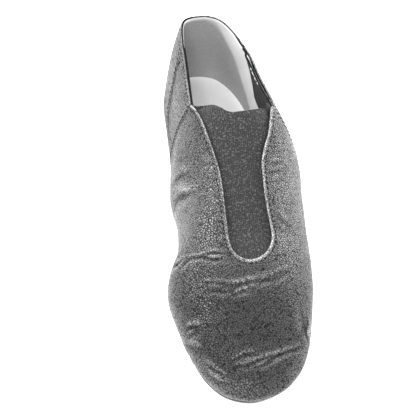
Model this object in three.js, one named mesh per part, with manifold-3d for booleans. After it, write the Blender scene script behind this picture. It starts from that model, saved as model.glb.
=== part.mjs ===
// A left slip-on jazz shoe in millimetres: toe towards -Y, inner side of the foot towards -X, +Z up.
// The origin is on the floor, under the middle of the outline.
//
// The last is described by its outline seen from above and by ribs that rise from the outline to a spine
// along the middle. Ahead of the front pivot and behind the back pivot the ribs fan out round that pivot.
// "walk" is the place along the outline: 0 is the back of the heel, 1 and 5 the back pivot, 2 and 4 the
// front pivot, 3 the toe tip, with 0 to 3 on the inner side and 3 to 6 on the outer side.
// "turn" is the place along a rib: -FEATHER_TURN at the sole, 0 at the widest place, TOP_TURN at the spine.

import * as THREE from "three";
import { mergeVertices } from "three/addons/utils/BufferGeometryUtils.js";
import Module from "manifold-3d";

// Driving sizes.
const LENGTH = 245; // toe tip to the back of the heel
const BALL_WIDTH = 84; // across the ball of the foot
const INSTEP_HEIGHT = 90; // closed form of the last over the instep, above the floor
const COLLAR_HEIGHT = 70; // collar at the back of the heel, above the floor
const HEEL_HEIGHT = 6; // how far the heel lifts the sole
const TOE_SPRING = 6; // how far the toe tip of the sole clears the floor
const SOLE_THICKNESS = 3.7; // outsole
const SOLE_INSET = 4; // sole edge inside the widest outline
const SOLE_BEVEL = 1; // how far the lower edge of the sole draws in
const WALL = 1.6; // leather and lining of the upper
const VAMP_STEP = 0.7; // how far the vamp stands proud of the quarters
const SEAM_WIDTH = 0.4; // width of that step at the side seams
const COUNTER_THICKNESS = 0.9; // overlay round the heel
const COLLAR_MARGIN = 1.5; // overlay and elastic end this far below the collar's edge
const GORE_THICKNESS = 1.2; // elastic panel
const GORE_HOLD = 7; // width of elastic held under the vamp
const WING_DEPTH = 30; // height of the elastic's wing inside the collar
const INSOLE_THICKNESS = 4.4; // filler and sock in the middle
const INSOLE_LIP = 1.1; // thinner rim of the insole, over the turned-in edge of the upper
const LIP_WIDTH = 1.6; // how far that rim reaches
const HEEL_TAPER = 1.2; // how far the heel block draws in towards the floor
const BREAST_HOLLOW = 4; // depth of the curve in the front face of the heel block
const GAP = 0.3; // clearance between pieces that touch
const GORE_GAP = 0.5; // clearance of the elastic, which is stretched across the facets of the upper
const BALL = BALL_WIDTH / 2;

// Pivots of the two fans and the front face of the heel block, as shares of the length from the toe tip.
const FRONT_PIVOT = 0.34;
const BACK_PIVOT = 0.88;
const HEEL_BREAST = 0.76;

// Outline from above: "at" is a share of the length from the toe tip, the half widths are shares of BALL.
const TOE_TIP = -0.11;
const OUTLINE = [
  { at: 0.018, inner: 0.44, outer: 0.25 },
  { at: 0.055, inner: 0.64, outer: 0.5 },
  { at: 0.11, inner: 0.79, outer: 0.69 },
  { at: 0.19, inner: 0.91, outer: 0.84 },
  { at: 0.27, inner: 0.985, outer: 0.955 },
  { at: 0.33, inner: 0.925, outer: 1.0 },
  { at: 0.39, inner: 0.765, outer: 1.01 },
  { at: 0.46, inner: 0.72, outer: 1.035 },
  { at: 0.54, inner: 0.75, outer: 1.06 },
  { at: 0.64, inner: 0.675, outer: 0.935 },
  { at: 0.75, inner: 0.65, outer: 0.8 },
  { at: 0.86, inner: 0.625, outer: 0.71 },
  { at: 0.94, inner: 0.49, outer: 0.54 },
  { at: 0.985, inner: 0.32, outer: 0.32 },
];

// Spine: sideways place as a share of BALL, height as a share of INSTEP_HEIGHT.
const SPINE = [
  { at: 0.34, side: 0.05, height: 0.557 },
  { at: 0.45, side: 0.045, height: 0.741 },
  { at: 0.62, side: 0.03, height: 1.0 },
  { at: 0.88, side: 0, height: 1.07 },
];
const FAN_SLOPE = 0.3; // rise of the toe fan at its pivot

// Ribs: height of the widest place above the sole as a share of COLLAR_HEIGHT, turned-in width as a share
// of BALL, and the roundness of the side over it: 2 is an ellipse, less leans in, more stands up.
const RIBS = [
  { at: 0, level: 0.13, tuck: 0.143, innerRound: 2, outerRound: 2, shoulder: 2.2 },
  { at: 0.3, level: 0.15, tuck: 0.143, innerRound: 1.92, outerRound: 1.91, shoulder: 2.2 },
  { at: 0.5, level: 0.185, tuck: 0.125, innerRound: 1.93, outerRound: 2.33, shoulder: 2.2 },
  { at: 0.65, level: 0.205, tuck: 0.115, innerRound: 1.82, outerRound: 2.3, shoulder: 2.22 },
  { at: 0.86, level: 0.215, tuck: 0.095, innerRound: 1.3, outerRound: 2.35, shoulder: 2.3 },
  { at: 1, level: 0.23, tuck: 0.095, innerRound: 2, outerRound: 2, shoulder: 2.3 },
];

// Underside of the upper: lift above the forefoot as shares of the toe spring and of the heel height.
const TREAD_FRONT = 0.2; // the flat of the forefoot starts here
const TREAD_BACK = 0.34; // and ends here, where the arch starts
const ARCH_END = 0.65; // the arch reaches the heel's height here
const SPRING_POWER = 2;
const ARCH_POWER = 1.5;

// Collar: height as a share of COLLAR_HEIGHT. Its front ends are the two ears.
const COLLAR = [
  { at: 0.614, inner: 1.05, outer: 1.035 },
  { at: 0.642, inner: 1.045, outer: 1.01 },
  { at: 0.75, inner: 1.06, outer: 0.94 },
  { at: 0.88, inner: 1.07, outer: 0.89 },
  { at: 1, inner: 1, outer: 1 },
];
const EAR = { inner: 0.642, outer: 0.614 };

// Throat: half width of the opening each side of the spine, as shares of BALL, from the pivot to the ears.
const THROAT = [
  { at: 0.34, inner: 0.24, outer: 0.335 },
  { at: 0.41, inner: 0.245, outer: 0.3 },
  { at: 0.46, inner: 0.26, outer: 0.305 },
  { at: 0.49, inner: 0.295, outer: 0.35 },
  { at: 0.53, inner: 0.35, outer: 0.46 },
  { at: 0.57, inner: 0.4, outer: 0.53 },
  { at: 0.6, inner: 0.435, outer: 0.585 },
];
const THROAT_FRONT = 0.375; // from the front pivot forward to the bottom of the throat

// Wavy top edge of the elastic panel: distance from the spine as shares of BALL.
const GORE_TOP = [
  { at: 0.566, inner: 0, outer: 0 },
  { at: 0.569, inner: 0.08, outer: 0.2 },
  { at: 0.58, inner: 0.21, outer: 0.51 },
  { at: 0.593, inner: 0.33, outer: 0.6 },
  { at: 0.608, inner: 0.44, outer: 0.68 },
];

// Wings of the elastic behind the throat: height as a share of WING_DEPTH.
const WING = [
  { at: 0.56, height: GORE_HOLD / WING_DEPTH },
  { at: 0.615, height: 1 },
  { at: 0.767, height: 1 },
  { at: 0.791, height: 0.9 },
  { at: 0.823, height: 0.8 },
  { at: 0.835, height: 0.5 },
  { at: 0.87, height: 0.1 },
];

// Side seams: where they leave the sole, and how sharply they bend back to the ears.
const SEAM_FOOT = { inner: 0.668, outer: 0.52 };
const SEAM_BEND = 3;

// Upper edge of the heel overlay: height as a share of COLLAR_HEIGHT.
const COUNTER_EDGE = [
  { at: 0.5, height: 0.47 },
  { at: 0.66, height: 0.47 },
  { at: 0.74, height: 0.4 },
  { at: 0.775, height: 0.48 },
  { at: 0.8, height: 0.8 },
  { at: 0.85, height: 1.08 },
  { at: 1, height: 1.2 },
];
const PAST_HEEL = 1.1; // the room over the overlay ends here, behind the heel

const TOP_TURN = Math.PI / 2;
const FEATHER_TURN = THREE.MathUtils.degToRad(70);
const RECESS_TURN = THREE.MathUtils.degToRad(20); // the quarters are fully set back above this turn
const COUNTER_TURN = THREE.MathUtils.degToRad(12); // the overlay starts this far under the widest place

// Looks of the materials.
const LEATHER = { color: 0x2c2b2d, roughness: 0.42, metalness: 0 };
const ELASTIC = { color: 0x1d1c1e, roughness: 0.9, metalness: 0 };
const SOCK = { color: 0xdad8d4, roughness: 0.85, metalness: 0 };
const RUBBER = { color: 0x151416, roughness: 0.7, metalness: 0 };

// The walk at the toe tip and all the way round.
const TOE_WALK = 3;
const FULL_WALK = 2 * TOE_WALK;

// The outline is kept between these shares of the length for the legs, which run from pivot to pivot, and up to
// this angle for the fans, which take a quarter turn each side.
const LEG_START = 0.15;
const LEG_END = 0.97;
const FAN_REACH = 0.75 * Math.PI;

const SMALL = 0.004; // step of walk, turn or share that a slope is taken over

// Number of facets.
const OUTLINE_STEPS = 40; // samples of the outline between two of its rows
const QUARTER_COLUMNS = 14; // upper, from the back of the heel to a side seam
const VAMP_COLUMNS = 20; // upper, from a side seam to the toe tip
const UPPER_ROWS = 13;
const EDGE_STEPS = 36; // upper edge of the overlay
const HOLD_ROWS = 6; // elastic, inside the upper
const SPAN_ROWS = 4; // elastic, from the edge of the throat to its middle
const DISC_ROWS = 5; // sole and insole, from the edge to the middle
const HEEL_STEPS = 24; // heel block, round its back
const BREAST_STEPS = 6; // heel block, across its front face

const { lerp, clamp, smoothstep } = THREE.MathUtils;
const wasm = await Module();
wasm.setup();

/** A smooth curve through one column of a table, which never swings past its rows. */
function curve(table, column) {
  const at = table.map((row) => row.at);
  const value = table.map((row) => row[column]);
  const last = at.length - 1;
  const slope = at.slice(1).map((x, i) => (value[i + 1] - value[i]) / (x - at[i]));
  const tangent = value.map((_, i) => {
    if (i === 0) return slope[0];
    if (i === last) return slope[last - 1];
    const [before, after] = [slope[i - 1], slope[i]];
    return before * after > 0 ? (2 * before * after) / (before + after) : 0;
  });
  return (share) => {
    const x = clamp(share, at[0], at[last]);
    const i = clamp(at.findIndex((edge) => edge >= x) - 1, 0, last - 1);
    const width = at[i + 1] - at[i];
    const t = (x - at[i]) / width;
    const rise = value[i + 1] - value[i];
    const ease = t * t * (3 - 2 * t);
    const leave = t * (1 - t) * (1 - t) * tangent[i];
    const arrive = t * t * (t - 1) * tangent[i + 1];
    return value[i] + rise * ease + width * (leave + arrive);
  };
}

/** The place of x between the rows of a sorted list of [key, value] pairs. */
function between(pairs, x) {
  const i = clamp(pairs.findIndex(([key]) => key >= x), 1, pairs.length - 1);
  const [[x0, y0], [x1, y1]] = [pairs[i - 1], pairs[i]];
  return lerp(y0, y1, clamp((x - x0) / (x1 - x0), 0, 1));
}

/** The x at which a rising function first reaches a level, between two ends. */
function reach(rising, level, from, to) {
  const halvings = 40;
  let [low, high] = [from, to];
  for (let step = 0; step < halvings; step += 1) {
    const middle = (low + high) / 2;
    if (rising(middle) < level) low = middle;
    else high = middle;
  }
  return (low + high) / 2;
}

// Outline, as one closed smooth curve that is cut at the heel and the toe tip.
const corners = [
  new THREE.Vector3(0, LENGTH, 0),
  ...OUTLINE.toReversed().map((row) => new THREE.Vector3(-row.inner * BALL, row.at * LENGTH, 0)),
  new THREE.Vector3(TOE_TIP * BALL, 0, 0),
  ...OUTLINE.map((row) => new THREE.Vector3(row.outer * BALL, row.at * LENGTH, 0)),
];
const outline = new THREE.CatmullRomCurve3(corners, true, "centripetal").getPoints(corners.length * OUTLINE_STEPS);
const toeIndex = (OUTLINE.length + 1) * OUTLINE_STEPS;
const sides = { inner: outline.slice(0, toeIndex + 1), outer: outline.slice(toeIndex) };
const widths = outline.map((point) => point.x);
const AXIS_X = -(Math.max(...widths) + Math.min(...widths)) / 2;

const spineSide = curve(SPINE, "side");
const spineHeight = curve(SPINE, "height");
const ribLevel = curve(RIBS, "level");
const ribTuck = curve(RIBS, "tuck");
const ribShoulder = curve(RIBS, "shoulder");
const counterEdge = curve(COUNTER_EDGE, "height");
const wingHeight = curve(WING, "height");
const bySide = (table, suffix = "") => ({
  inner: curve(table, `inner${suffix}`),
  outer: curve(table, `outer${suffix}`),
});
const ribRound = bySide(RIBS, "Round");
const collarHeight = bySide(COLLAR);
const goreTop = bySide(GORE_TOP);
const sideOf = (walk) => (walk <= TOE_WALK ? "inner" : "outer");
const sideSign = (side) => (side === "inner" ? -1 : 1);

/** Height of the underside of the upper above the floor, at a distance from the toe tip. */
function soleLine(distance) {
  const share = distance / LENGTH;
  const spring = TOE_SPRING * clamp((TREAD_FRONT - share) / TREAD_FRONT, 0, 1) ** SPRING_POWER;
  const arch = HEEL_HEIGHT * clamp((share - TREAD_BACK) / (ARCH_END - TREAD_BACK), 0, 1) ** ARCH_POWER;
  return SOLE_THICKNESS + GAP + spring + arch;
}

/** The outline between the two pivots, by side, as pairs of a distance from the toe tip and a place across. */
const legs = Object.fromEntries(
  Object.entries(sides).map(([side, points]) => {
    const leg = points.filter(({ y }) => y > LEG_START * LENGTH && y < LEG_END * LENGTH);
    const sorted = leg.sort((a, b) => a.y - b.y).map(({ x, y }) => [y, x]);
    return [side, sorted];
  }),
);

/** The outline round a pivot as [angle, radius] pairs, where angle 0 looks away from the other pivot. */
function fanTable(side, pivot, forward) {
  const centre = { x: spineSide(pivot) * BALL, y: pivot * LENGTH };
  const pairs = outline.slice(1).map(({ x, y }) => {
    const across = (x - centre.x) * sideSign(side);
    const along = (y - centre.y) * (forward ? -1 : 1);
    return [Math.atan2(across, along), Math.hypot(across, along)];
  });
  return pairs.filter(([angle]) => Math.abs(angle) < FAN_REACH).sort((a, b) => a[0] - b[0]);
}

const fans = {
  inner: { toe: fanTable("inner", FRONT_PIVOT, true), heel: fanTable("inner", BACK_PIVOT, false) },
  outer: { toe: fanTable("outer", FRONT_PIVOT, true), heel: fanTable("outer", BACK_PIVOT, false) },
};

/** The walk's outline point and the foot of its rib on the spine: x across, y from the toe tip. */
function ribEnds(anyWalk) {
  const walk = ((anyWalk % FULL_WALK) + FULL_WALK) % FULL_WALK;
  const side = sideOf(walk);
  const along = side === "inner" ? walk : FULL_WALK - walk; // 0 heel, 1 back pivot, 2 front pivot, 3 toe
  if (along >= 1 && along <= 2) {
    const distance = lerp(BACK_PIVOT, FRONT_PIVOT, along - 1) * LENGTH;
    const foot = new THREE.Vector2(spineSide(distance / LENGTH) * BALL, distance);
    return { side, edge: new THREE.Vector2(between(legs[side], distance), distance), foot, fan: false };
  }
  const forward = along > 2;
  const pivot = forward ? FRONT_PIVOT : BACK_PIVOT;
  const foot = new THREE.Vector2(spineSide(pivot) * BALL, pivot * LENGTH);
  const pairs = fans[side][forward ? "toe" : "heel"];
  const part = (forward ? TOE_WALK - along : along) * (Math.PI / 2);
  const stretch = between(pairs, 0) / between(pairs, Math.PI / 2);
  const angle = Math.atan2(Math.sin(part), Math.cos(part) * stretch);
  const radius = between(pairs, angle);
  const across = foot.x + sideSign(side) * radius * Math.sin(angle);
  const distance = foot.y + (forward ? -1 : 1) * radius * Math.cos(angle);
  return { side, edge: new THREE.Vector2(across, distance), foot, fan: forward };
}

/** A point of the last's own surface. */
function form(walk, turn) {
  const { side, edge, foot } = ribEnds(walk);
  const share = edge.y / LENGTH;
  const reachIn = edge.distanceTo(foot);
  const tuck = ribTuck(share) * BALL;
  const feather = soleLine(lerp(edge.y, foot.y, tuck / reachIn));
  const widest = feather + ribLevel(share) * COLLAR_HEIGHT;
  const ramp = Math.max(FRONT_PIVOT * LENGTH - edge.y, 0) * FAN_SLOPE;
  let inward = 0;
  let height = 0;
  if (turn < 0) {
    inward = (tuck * (1 - Math.cos(turn))) / (1 - Math.cos(FEATHER_TURN)) / reachIn;
    height = widest + ((widest - feather) * Math.sin(turn)) / Math.sin(FEATHER_TURN);
  } else {
    const ridge = spineHeight(foot.y / LENGTH) * INSTEP_HEIGHT;
    inward = 1 - Math.max(Math.cos(turn), 0) ** (2 / ribShoulder(share));
    const rise = Math.max(Math.sin(turn), 0) ** (2 / ribRound[side](share));
    height = widest + (ridge - widest - ramp) * rise + ramp * inward;
  }
  const place = edge.clone().lerp(foot, inward);
  return new THREE.Vector3(place.x + AXIS_X, place.y - LENGTH / 2, height);
}

/** The outward normal of the last's surface. */
function normal(walk, turn) {
  if (turn > TOP_TURN - SMALL) {
    const { foot, fan } = ribEnds(walk);
    const share = foot.y / LENGTH;
    const rise = ((spineHeight(share + SMALL) - spineHeight(share - SMALL)) * INSTEP_HEIGHT) / (2 * SMALL * LENGTH);
    return new THREE.Vector3(0, fan ? -FAN_SLOPE : -rise, 1).normalize();
  }
  const across = form(walk + SMALL, turn).sub(form(walk - SMALL, turn));
  const up = form(walk, turn + SMALL).sub(form(walk, turn - SMALL));
  return across.cross(up).normalize();
}

/** A point at a distance outside the last's surface, or inside it where the distance is negative. */
const skin = (walk, turn, offset) => form(walk, turn).addScaledVector(normal(walk, turn), offset);

/** The walk at a share of the length, on the legs between the pivots. */
function walkAt(side, share) {
  const along = 1 + (BACK_PIVOT - share) / (BACK_PIVOT - FRONT_PIVOT);
  return side === "inner" ? along : FULL_WALK - along;
}

/** The turn at which a rib comes within a distance of the spine, seen from above. */
function turnAtSpan(walk, span) {
  const { edge, foot } = ribEnds(walk);
  const left = clamp(span / edge.distanceTo(foot), 0, 1);
  return Math.acos(left ** (ribShoulder(edge.y / LENGTH) / 2));
}

/** The turn at which a rib reaches a height. */
const turnAtHeight = (walk, height) => reach((turn) => form(walk, turn).z, height, 0, TOP_TURN);

/** The turn of the collar's edge on a rib behind the ear. */
function collarTurn(walk) {
  const { side, edge } = ribEnds(walk);
  return turnAtHeight(walk, collarHeight[side](edge.y / LENGTH) * COLLAR_HEIGHT);
}

const earWalk = { inner: walkAt("inner", EAR.inner), outer: walkAt("outer", EAR.outer) };
const seamWalk = { inner: walkAt("inner", SEAM_FOOT.inner), outer: walkAt("outer", SEAM_FOOT.outer) };

/** Half width of the throat by side, whose last row is the ear at the collar's height. */
const throatSpan = Object.fromEntries(
  ["inner", "outer"].map((side) => {
    const walk = earWalk[side];
    const { foot } = ribEnds(walk);
    const ear = form(walk, collarTurn(walk));
    const span = Math.abs(ear.x - AXIS_X - foot.x) / BALL;
    const rows = THROAT.filter((row) => row.at < EAR[side]);
    return [side, curve([...rows, { at: EAR[side], [side]: span }], side)];
  }),
);

/** Distance of the throat's edge from the spine, along a rib ahead of the ear. */
function throatReach(walk) {
  const { side, edge, foot, fan } = ribEnds(walk);
  if (!fan) return throatSpan[side](edge.y / LENGTH) * BALL;
  const away = edge.clone().sub(foot).normalize();
  return lerp(throatSpan[side](FRONT_PIVOT), THROAT_FRONT, away.y * away.y) * BALL;
}

/** The turn of the upper's top edge on any rib. */
function toplineTurn(walk) {
  const open = walk > earWalk.inner && walk < earWalk.outer;
  return open ? turnAtSpan(walk, throatReach(walk)) : collarTurn(walk);
}

/** Turns a grid of spots into faces. Spots that lie in the same place become one. */
function grid(columns, rows, closed, spotAt) {
  const spots = [];
  const known = new Map();
  const index = Array.from({ length: columns }, (_, column) =>
    Array.from({ length: rows }, (__, row) => {
      const spot = spotAt(column, row / (rows - 1));
      const key = spot.place.toArray().map((value) => value.toFixed(3)).join();
      if (!known.has(key)) {
        known.set(key, spots.length);
        spots.push(spot);
      }
      return known.get(key);
    }),
  );
  const faces = [];
  const strips = closed ? columns : columns - 1;
  for (let column = 0; column < strips; column += 1) {
    const [here, next] = [index[column], index[(column + 1) % columns]];
    for (let row = 0; row + 1 < rows; row += 1) {
      const [a, b, c, d] = [here[row], here[row + 1], next[row + 1], next[row]];
      faces.push([a, c, b], [a, d, c]);
    }
  }
  return { spots, faces: faces.filter(([a, b, c]) => a !== b && b !== c && a !== c) };
}

/** Closes two skins that share their faces into one solid, with a wall along every free edge. */
function solid(name, look, { faces, outer, inner }) {
  const count = outer.length;
  const edges = new Set(faces.flatMap(([a, b, c]) => [`${a},${b}`, `${b},${c}`, `${c},${a}`]));
  const free = [...edges].map((edge) => edge.split(",").map(Number)).filter(([a, b]) => !edges.has(`${b},${a}`));
  const walls = free.flatMap(([a, b]) => [
    [b, a, a + count],
    [b, a + count, b + count],
  ]);
  const back = faces.map(([a, b, c]) => [a + count, c + count, b + count]);
  const geometry = new THREE.BufferGeometry().setFromPoints([...outer, ...inner]);
  geometry.setIndex([...faces, ...back, ...walls].flat());
  geometry.computeVertexNormals();
  const mesh = new THREE.Mesh(geometry, new THREE.MeshStandardMaterial(look));
  mesh.name = name;
  return mesh;
}

/** A shell on the last, between two distances from its surface that may change from spot to spot. */
function shell(name, look, { spots, faces }, outside, inside) {
  const layer = (offset) => spots.map((spot) => skin(spot.walk, spot.turn, offset(spot)));
  return solid(name, look, { faces, outer: layer(outside), inner: layer(inside) });
}

/** One column of the upper, from its walk at the sole to its walk at the top edge. */
const column = (footWalk, topWalk, part) => ({ footWalk, topWalk, part });

/** The spot at a share of the way up a column. */
function climb({ footWalk, topWalk, part }, share) {
  const walk = lerp(footWalk, topWalk, share ** SEAM_BEND);
  const turn = lerp(-FEATHER_TURN, toplineTurn(topWalk), share);
  return { walk, turn, part, place: form(walk, turn) };
}

/** How far apart along the walk two columns are that lie a distance apart at a side seam. */
const walkOver = (distance) => distance / (LENGTH * (BACK_PIVOT - FRONT_PIVOT));

/** Columns of a quarter, from the back of the heel up to a distance short of its side seam. */
function quarterColumns(side, short) {
  const clear = walkOver(short);
  const along = (walk, share) => {
    const whole = side === "inner" ? walk : FULL_WALK - walk;
    const reached = Math.min(share * whole, whole - clear);
    return side === "inner" ? reached : FULL_WALK - reached;
  };
  return Array.from({ length: QUARTER_COLUMNS + 1 }, (_, i) => {
    const share = i / QUARTER_COLUMNS;
    return column(along(seamWalk[side], share), along(earWalk[side], share), "quarter");
  });
}

/** Columns of the vamp on one side, from its seam to the toe tip. */
function vampColumns(side) {
  const step = walkOver(SEAM_WIDTH) * -sideSign(side);
  return Array.from({ length: VAMP_COLUMNS + 1 }, (_, i) => {
    const part = i / VAMP_COLUMNS;
    return column(lerp(seamWalk[side] + step, TOE_WALK, part), lerp(earWalk[side] + step, TOE_WALK, part), "vamp");
  });
}

/** Columns of the upper from the heel round the inner side, the toe and the outer side to the heel. */
function upperColumns() {
  return [
    ...quarterColumns("inner", 0),
    ...vampColumns("inner"),
    ...vampColumns("outer").slice(0, -1).toReversed(),
    ...quarterColumns("outer", 0).slice(1).toReversed(),
  ];
}

/** How far the outside of a quarter is set back from the vamp: nothing where it turns under the sole. */
const setBack = (turn) => VAMP_STEP * smoothstep(turn, -FEATHER_TURN, -RECESS_TURN);

const INNER_FACE = -(VAMP_STEP + WALL);

function makeUpper() {
  const columns = upperColumns();
  const sheet = grid(columns.length, UPPER_ROWS, true, (i, share) => climb(columns[i], share));
  const outside = ({ part, turn }) => (part === "vamp" ? 0 : -setBack(turn));
  return shell("upper", LEATHER, sheet, outside, () => INNER_FACE);
}

/** The share of a column that lies a distance below its top edge. */
function shareBelow(line, distance) {
  const top = climb(line, 1).place;
  return reach((share) => -climb(line, share).place.distanceTo(top), -distance, 0, 1);
}

/** The room above the overlay's edge, as a prism across the shoe. */
function aboveCounter() {
  const samples = Array.from({ length: EDGE_STEPS + 1 }, (_, i) => lerp(COUNTER_EDGE[0].at, PAST_HEEL, i / EDGE_STEPS));
  const edge = samples.map((at) => new THREE.Vector2((at - 0.5) * LENGTH, counterEdge(at) * COLLAR_HEIGHT));
  const over = 2 * COLLAR_HEIGHT;
  const roof = [new THREE.Vector2(edge.at(-1).x, over), new THREE.Vector2(edge[0].x - LENGTH, over)];
  const eave = new THREE.Vector2(edge[0].x - LENGTH, edge[0].y);
  const shape = new THREE.Shape([...edge, ...roof, eave]);
  const prism = new THREE.ExtrudeGeometry(shape, { depth: 2 * BALL_WIDTH, bevelEnabled: false });
  const [x, y, z] = [new THREE.Vector3(1, 0, 0), new THREE.Vector3(0, 1, 0), new THREE.Vector3(0, 0, 1)];
  return prism.applyMatrix4(new THREE.Matrix4().makeBasis(y, z, x)).translate(-BALL_WIDTH, 0, 0);
}

/** A closed geometry as a solid that can be cut. */
function cuttable(geometry) {
  const bare = geometry.clone();
  bare.deleteAttribute("normal");
  bare.deleteAttribute("uv");
  const merged = mergeVertices(bare);
  const vertProperties = Float32Array.from(merged.attributes.position.array);
  const triVerts = Uint32Array.from(merged.index.array);
  return new wasm.Manifold(new wasm.Mesh({ numProp: 3, vertProperties, triVerts }));
}

/** What is left of a mesh when a geometry is cut away. */
function cutAway(mesh, tool) {
  const { vertProperties, triVerts } = cuttable(mesh.geometry).subtract(cuttable(tool)).getMesh();
  mesh.geometry = new THREE.BufferGeometry();
  mesh.geometry.setAttribute("position", new THREE.BufferAttribute(vertProperties, 3));
  mesh.geometry.setIndex(new THREE.BufferAttribute(triVerts, 1));
  mesh.geometry.computeVertexNormals();
  return mesh;
}

/** The overlay round the heel: it ends at the side seams and below the collar. */
function makeCounter() {
  const short = SEAM_WIDTH + GAP;
  const columns = [
    ...quarterColumns("outer", short).slice(1).toReversed(),
    ...quarterColumns("inner", short),
  ];
  const sheet = grid(columns.length, UPPER_ROWS, false, (i, rise) => {
    const line = columns[i];
    const start = (FEATHER_TURN - COUNTER_TURN) / (FEATHER_TURN + toplineTurn(line.topWalk));
    return climb(line, clamp(rise, start, shareBelow(line, COLLAR_MARGIN)));
  });
  const inside = GAP - VAMP_STEP;
  const whole = shell("heel_counter", LEATHER, sheet, () => inside + COUNTER_THICKNESS, () => inside);
  return cutAway(whole, aboveCounter());
}

/** The elastic: a panel across the throat, and a wing along the inside of the collar on each side. */
function makeGore() {
  const wingDepth = (line) => {
    const { edge } = ribEnds(line.topWalk);
    return wingHeight(edge.y / LENGTH) * WING_DEPTH;
  };
  const inWing = (line) => ribEnds(line.topWalk).edge.y / LENGTH <= WING.at(-1).at;
  const wing = (side) => quarterColumns(side, 0).filter(inWing).map((line) => ({ line, crossing: null }));
  const vamps = { inner: vampColumns("inner"), outer: vampColumns("outer") };
  const middles = vamps.inner.map((line, i) => {
    const shares = [line, vamps.outer[i]].map(({ topWalk }) => ribEnds(topWalk).edge.y / LENGTH);
    return Math.max((shares[0] + shares[1]) / 2, FRONT_PIVOT);
  });
  const panel = (side) => vamps[side].map((line, i) => ({ line, crossing: middles[i] }));
  const columns = [
    ...wing("inner"),
    ...panel("inner"),
    ...panel("outer").slice(0, -1).toReversed(),
    ...wing("outer").toReversed(),
  ];
  const first = UPPER_ROWS - HOLD_ROWS;
  const sheet = grid(columns.length, HOLD_ROWS + SPAN_ROWS, false, (i, rise) => {
    const { line, crossing } = columns[i];
    const row = Math.round(rise * (HOLD_ROWS + SPAN_ROWS - 1));
    const low = shareBelow(line, wingDepth(line));
    const high = crossing === null ? shareBelow(line, COLLAR_MARGIN) : 1;
    if (row < HOLD_ROWS || crossing === null) return climb(line, clamp((first + row) / (UPPER_ROWS - 1), low, high));
    const part = (row + 1 - HOLD_ROWS) / SPAN_ROWS;
    const { side, fan } = ribEnds(line.topWalk);
    const spineWalk = fan && crossing === FRONT_PIVOT ? line.topWalk : walkAt(side, crossing);
    const start = toplineTurn(line.topWalk);
    const end = Math.max(turnAtSpan(spineWalk, goreTop[side](crossing) * BALL), start);
    const walk = lerp(line.topWalk, spineWalk, part);
    const turn = lerp(start, end, part);
    return { walk, turn, place: form(walk, turn) };
  });
  const outside = INNER_FACE - GORE_GAP;
  return shell("front_gore", ELASTIC, sheet, () => outside, () => outside - GORE_THICKNESS);
}

/** A flat-lying solid inside the outline, from the places and heights of its edge rows. */
function disc(name, look, edgeRows, heightsInside) {
  const inside = DISC_ROWS - 1;
  const rows = edgeRows.length + inside;
  const half = (side) =>
    [...quarterColumns(side, 0).slice(0, -1), ...vampColumns(side)].map(({ footWalk }) => footWalk);
  const [inner, outer] = [half("inner"), half("outer")];
  const feet = inner.map((walk, i) => ribEnds(walk).foot.lerp(ribEnds(outer[i]).foot, 0.5));
  const ribs = [
    ...inner.map((walk, i) => ({ walk, foot: feet[i] })),
    ...outer.map((walk, i) => ({ walk, foot: feet[i] })).slice(1, -1).toReversed(),
  ];
  const sheet = grid(ribs.length, rows, true, (i, share) => {
    const { walk, foot } = ribs[i];
    const { edge } = ribEnds(walk);
    const row = Math.round(share * (rows - 1));
    return { walk, foot, row, place: edge.lerp(foot, row / (rows - 1)) };
  });
  const layer = (face) =>
    sheet.spots.map(({ walk, foot, row }) => {
      const bound = edgeRows.map((rowOf) => rowOf(walk)[face]);
      const { point, lift } = bound[Math.min(row, bound.length - 1)];
      const place = point.lerp(foot, Math.max(row + 1 - bound.length, 0) / inside);
      return new THREE.Vector3(
        place.x + AXIS_X,
        place.y - LENGTH / 2,
        soleLine(place.y) + (row < bound.length ? lift : heightsInside[face]),
      );
    });
  return solid(name, look, { faces: sheet.faces, outer: layer("top"), inner: layer("bottom") });
}

/** A place seen from above, moved towards the foot of its rib. */
function drawIn(place, walk, distance) {
  const { foot } = ribEnds(walk);
  return place.clone().lerp(foot, distance / place.distanceTo(foot));
}

/** The outsole follows the underside of the upper. */
function makeOutsole() {
  const top = -GAP;
  const bottom = -GAP - SOLE_THICKNESS;
  const edge = (walk) => {
    const { edge: rim } = ribEnds(walk);
    return {
      top: { point: drawIn(rim, walk, SOLE_INSET), lift: top },
      bottom: { point: drawIn(rim, walk, SOLE_INSET + SOLE_BEVEL), lift: bottom },
    };
  };
  return disc("outsole", RUBBER, [edge], { top, bottom });
}

/** The inside of the upper seen from above, at a height over the underside of the upper. */
function insideAt(walk, lift) {
  const above = (turn) => {
    const { y, z } = skin(walk, turn, INNER_FACE);
    return z - soleLine(y + LENGTH / 2);
  };
  const { x, y } = skin(walk, reach(above, lift, -FEATHER_TURN, TOP_TURN / 2), INNER_FACE);
  return new THREE.Vector2(x - AXIS_X, y + LENGTH / 2);
}

/** The insole lies on the outsole inside the upper's edge, with a thinner rim over that edge. */
function makeInsole() {
  const top = INSOLE_THICKNESS;
  const rimLift = INSOLE_THICKNESS - INSOLE_LIP;
  const rim = (walk) => ({
    top: { point: drawIn(insideAt(walk, top), walk, GAP), lift: top },
    bottom: { point: drawIn(insideAt(walk, rimLift), walk, 2 * GAP), lift: rimLift },
  });
  const step = (distance, lift) => (walk) => {
    const point = drawIn(insideAt(walk, 0), walk, distance);
    return { top: { point, lift: top }, bottom: { point: point.clone(), lift } };
  };
  return disc("insole", SOCK, [rim, step(LIP_WIDTH, rimLift), step(LIP_WIDTH + GAP, 0)], { top, bottom: 0 });
}

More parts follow.
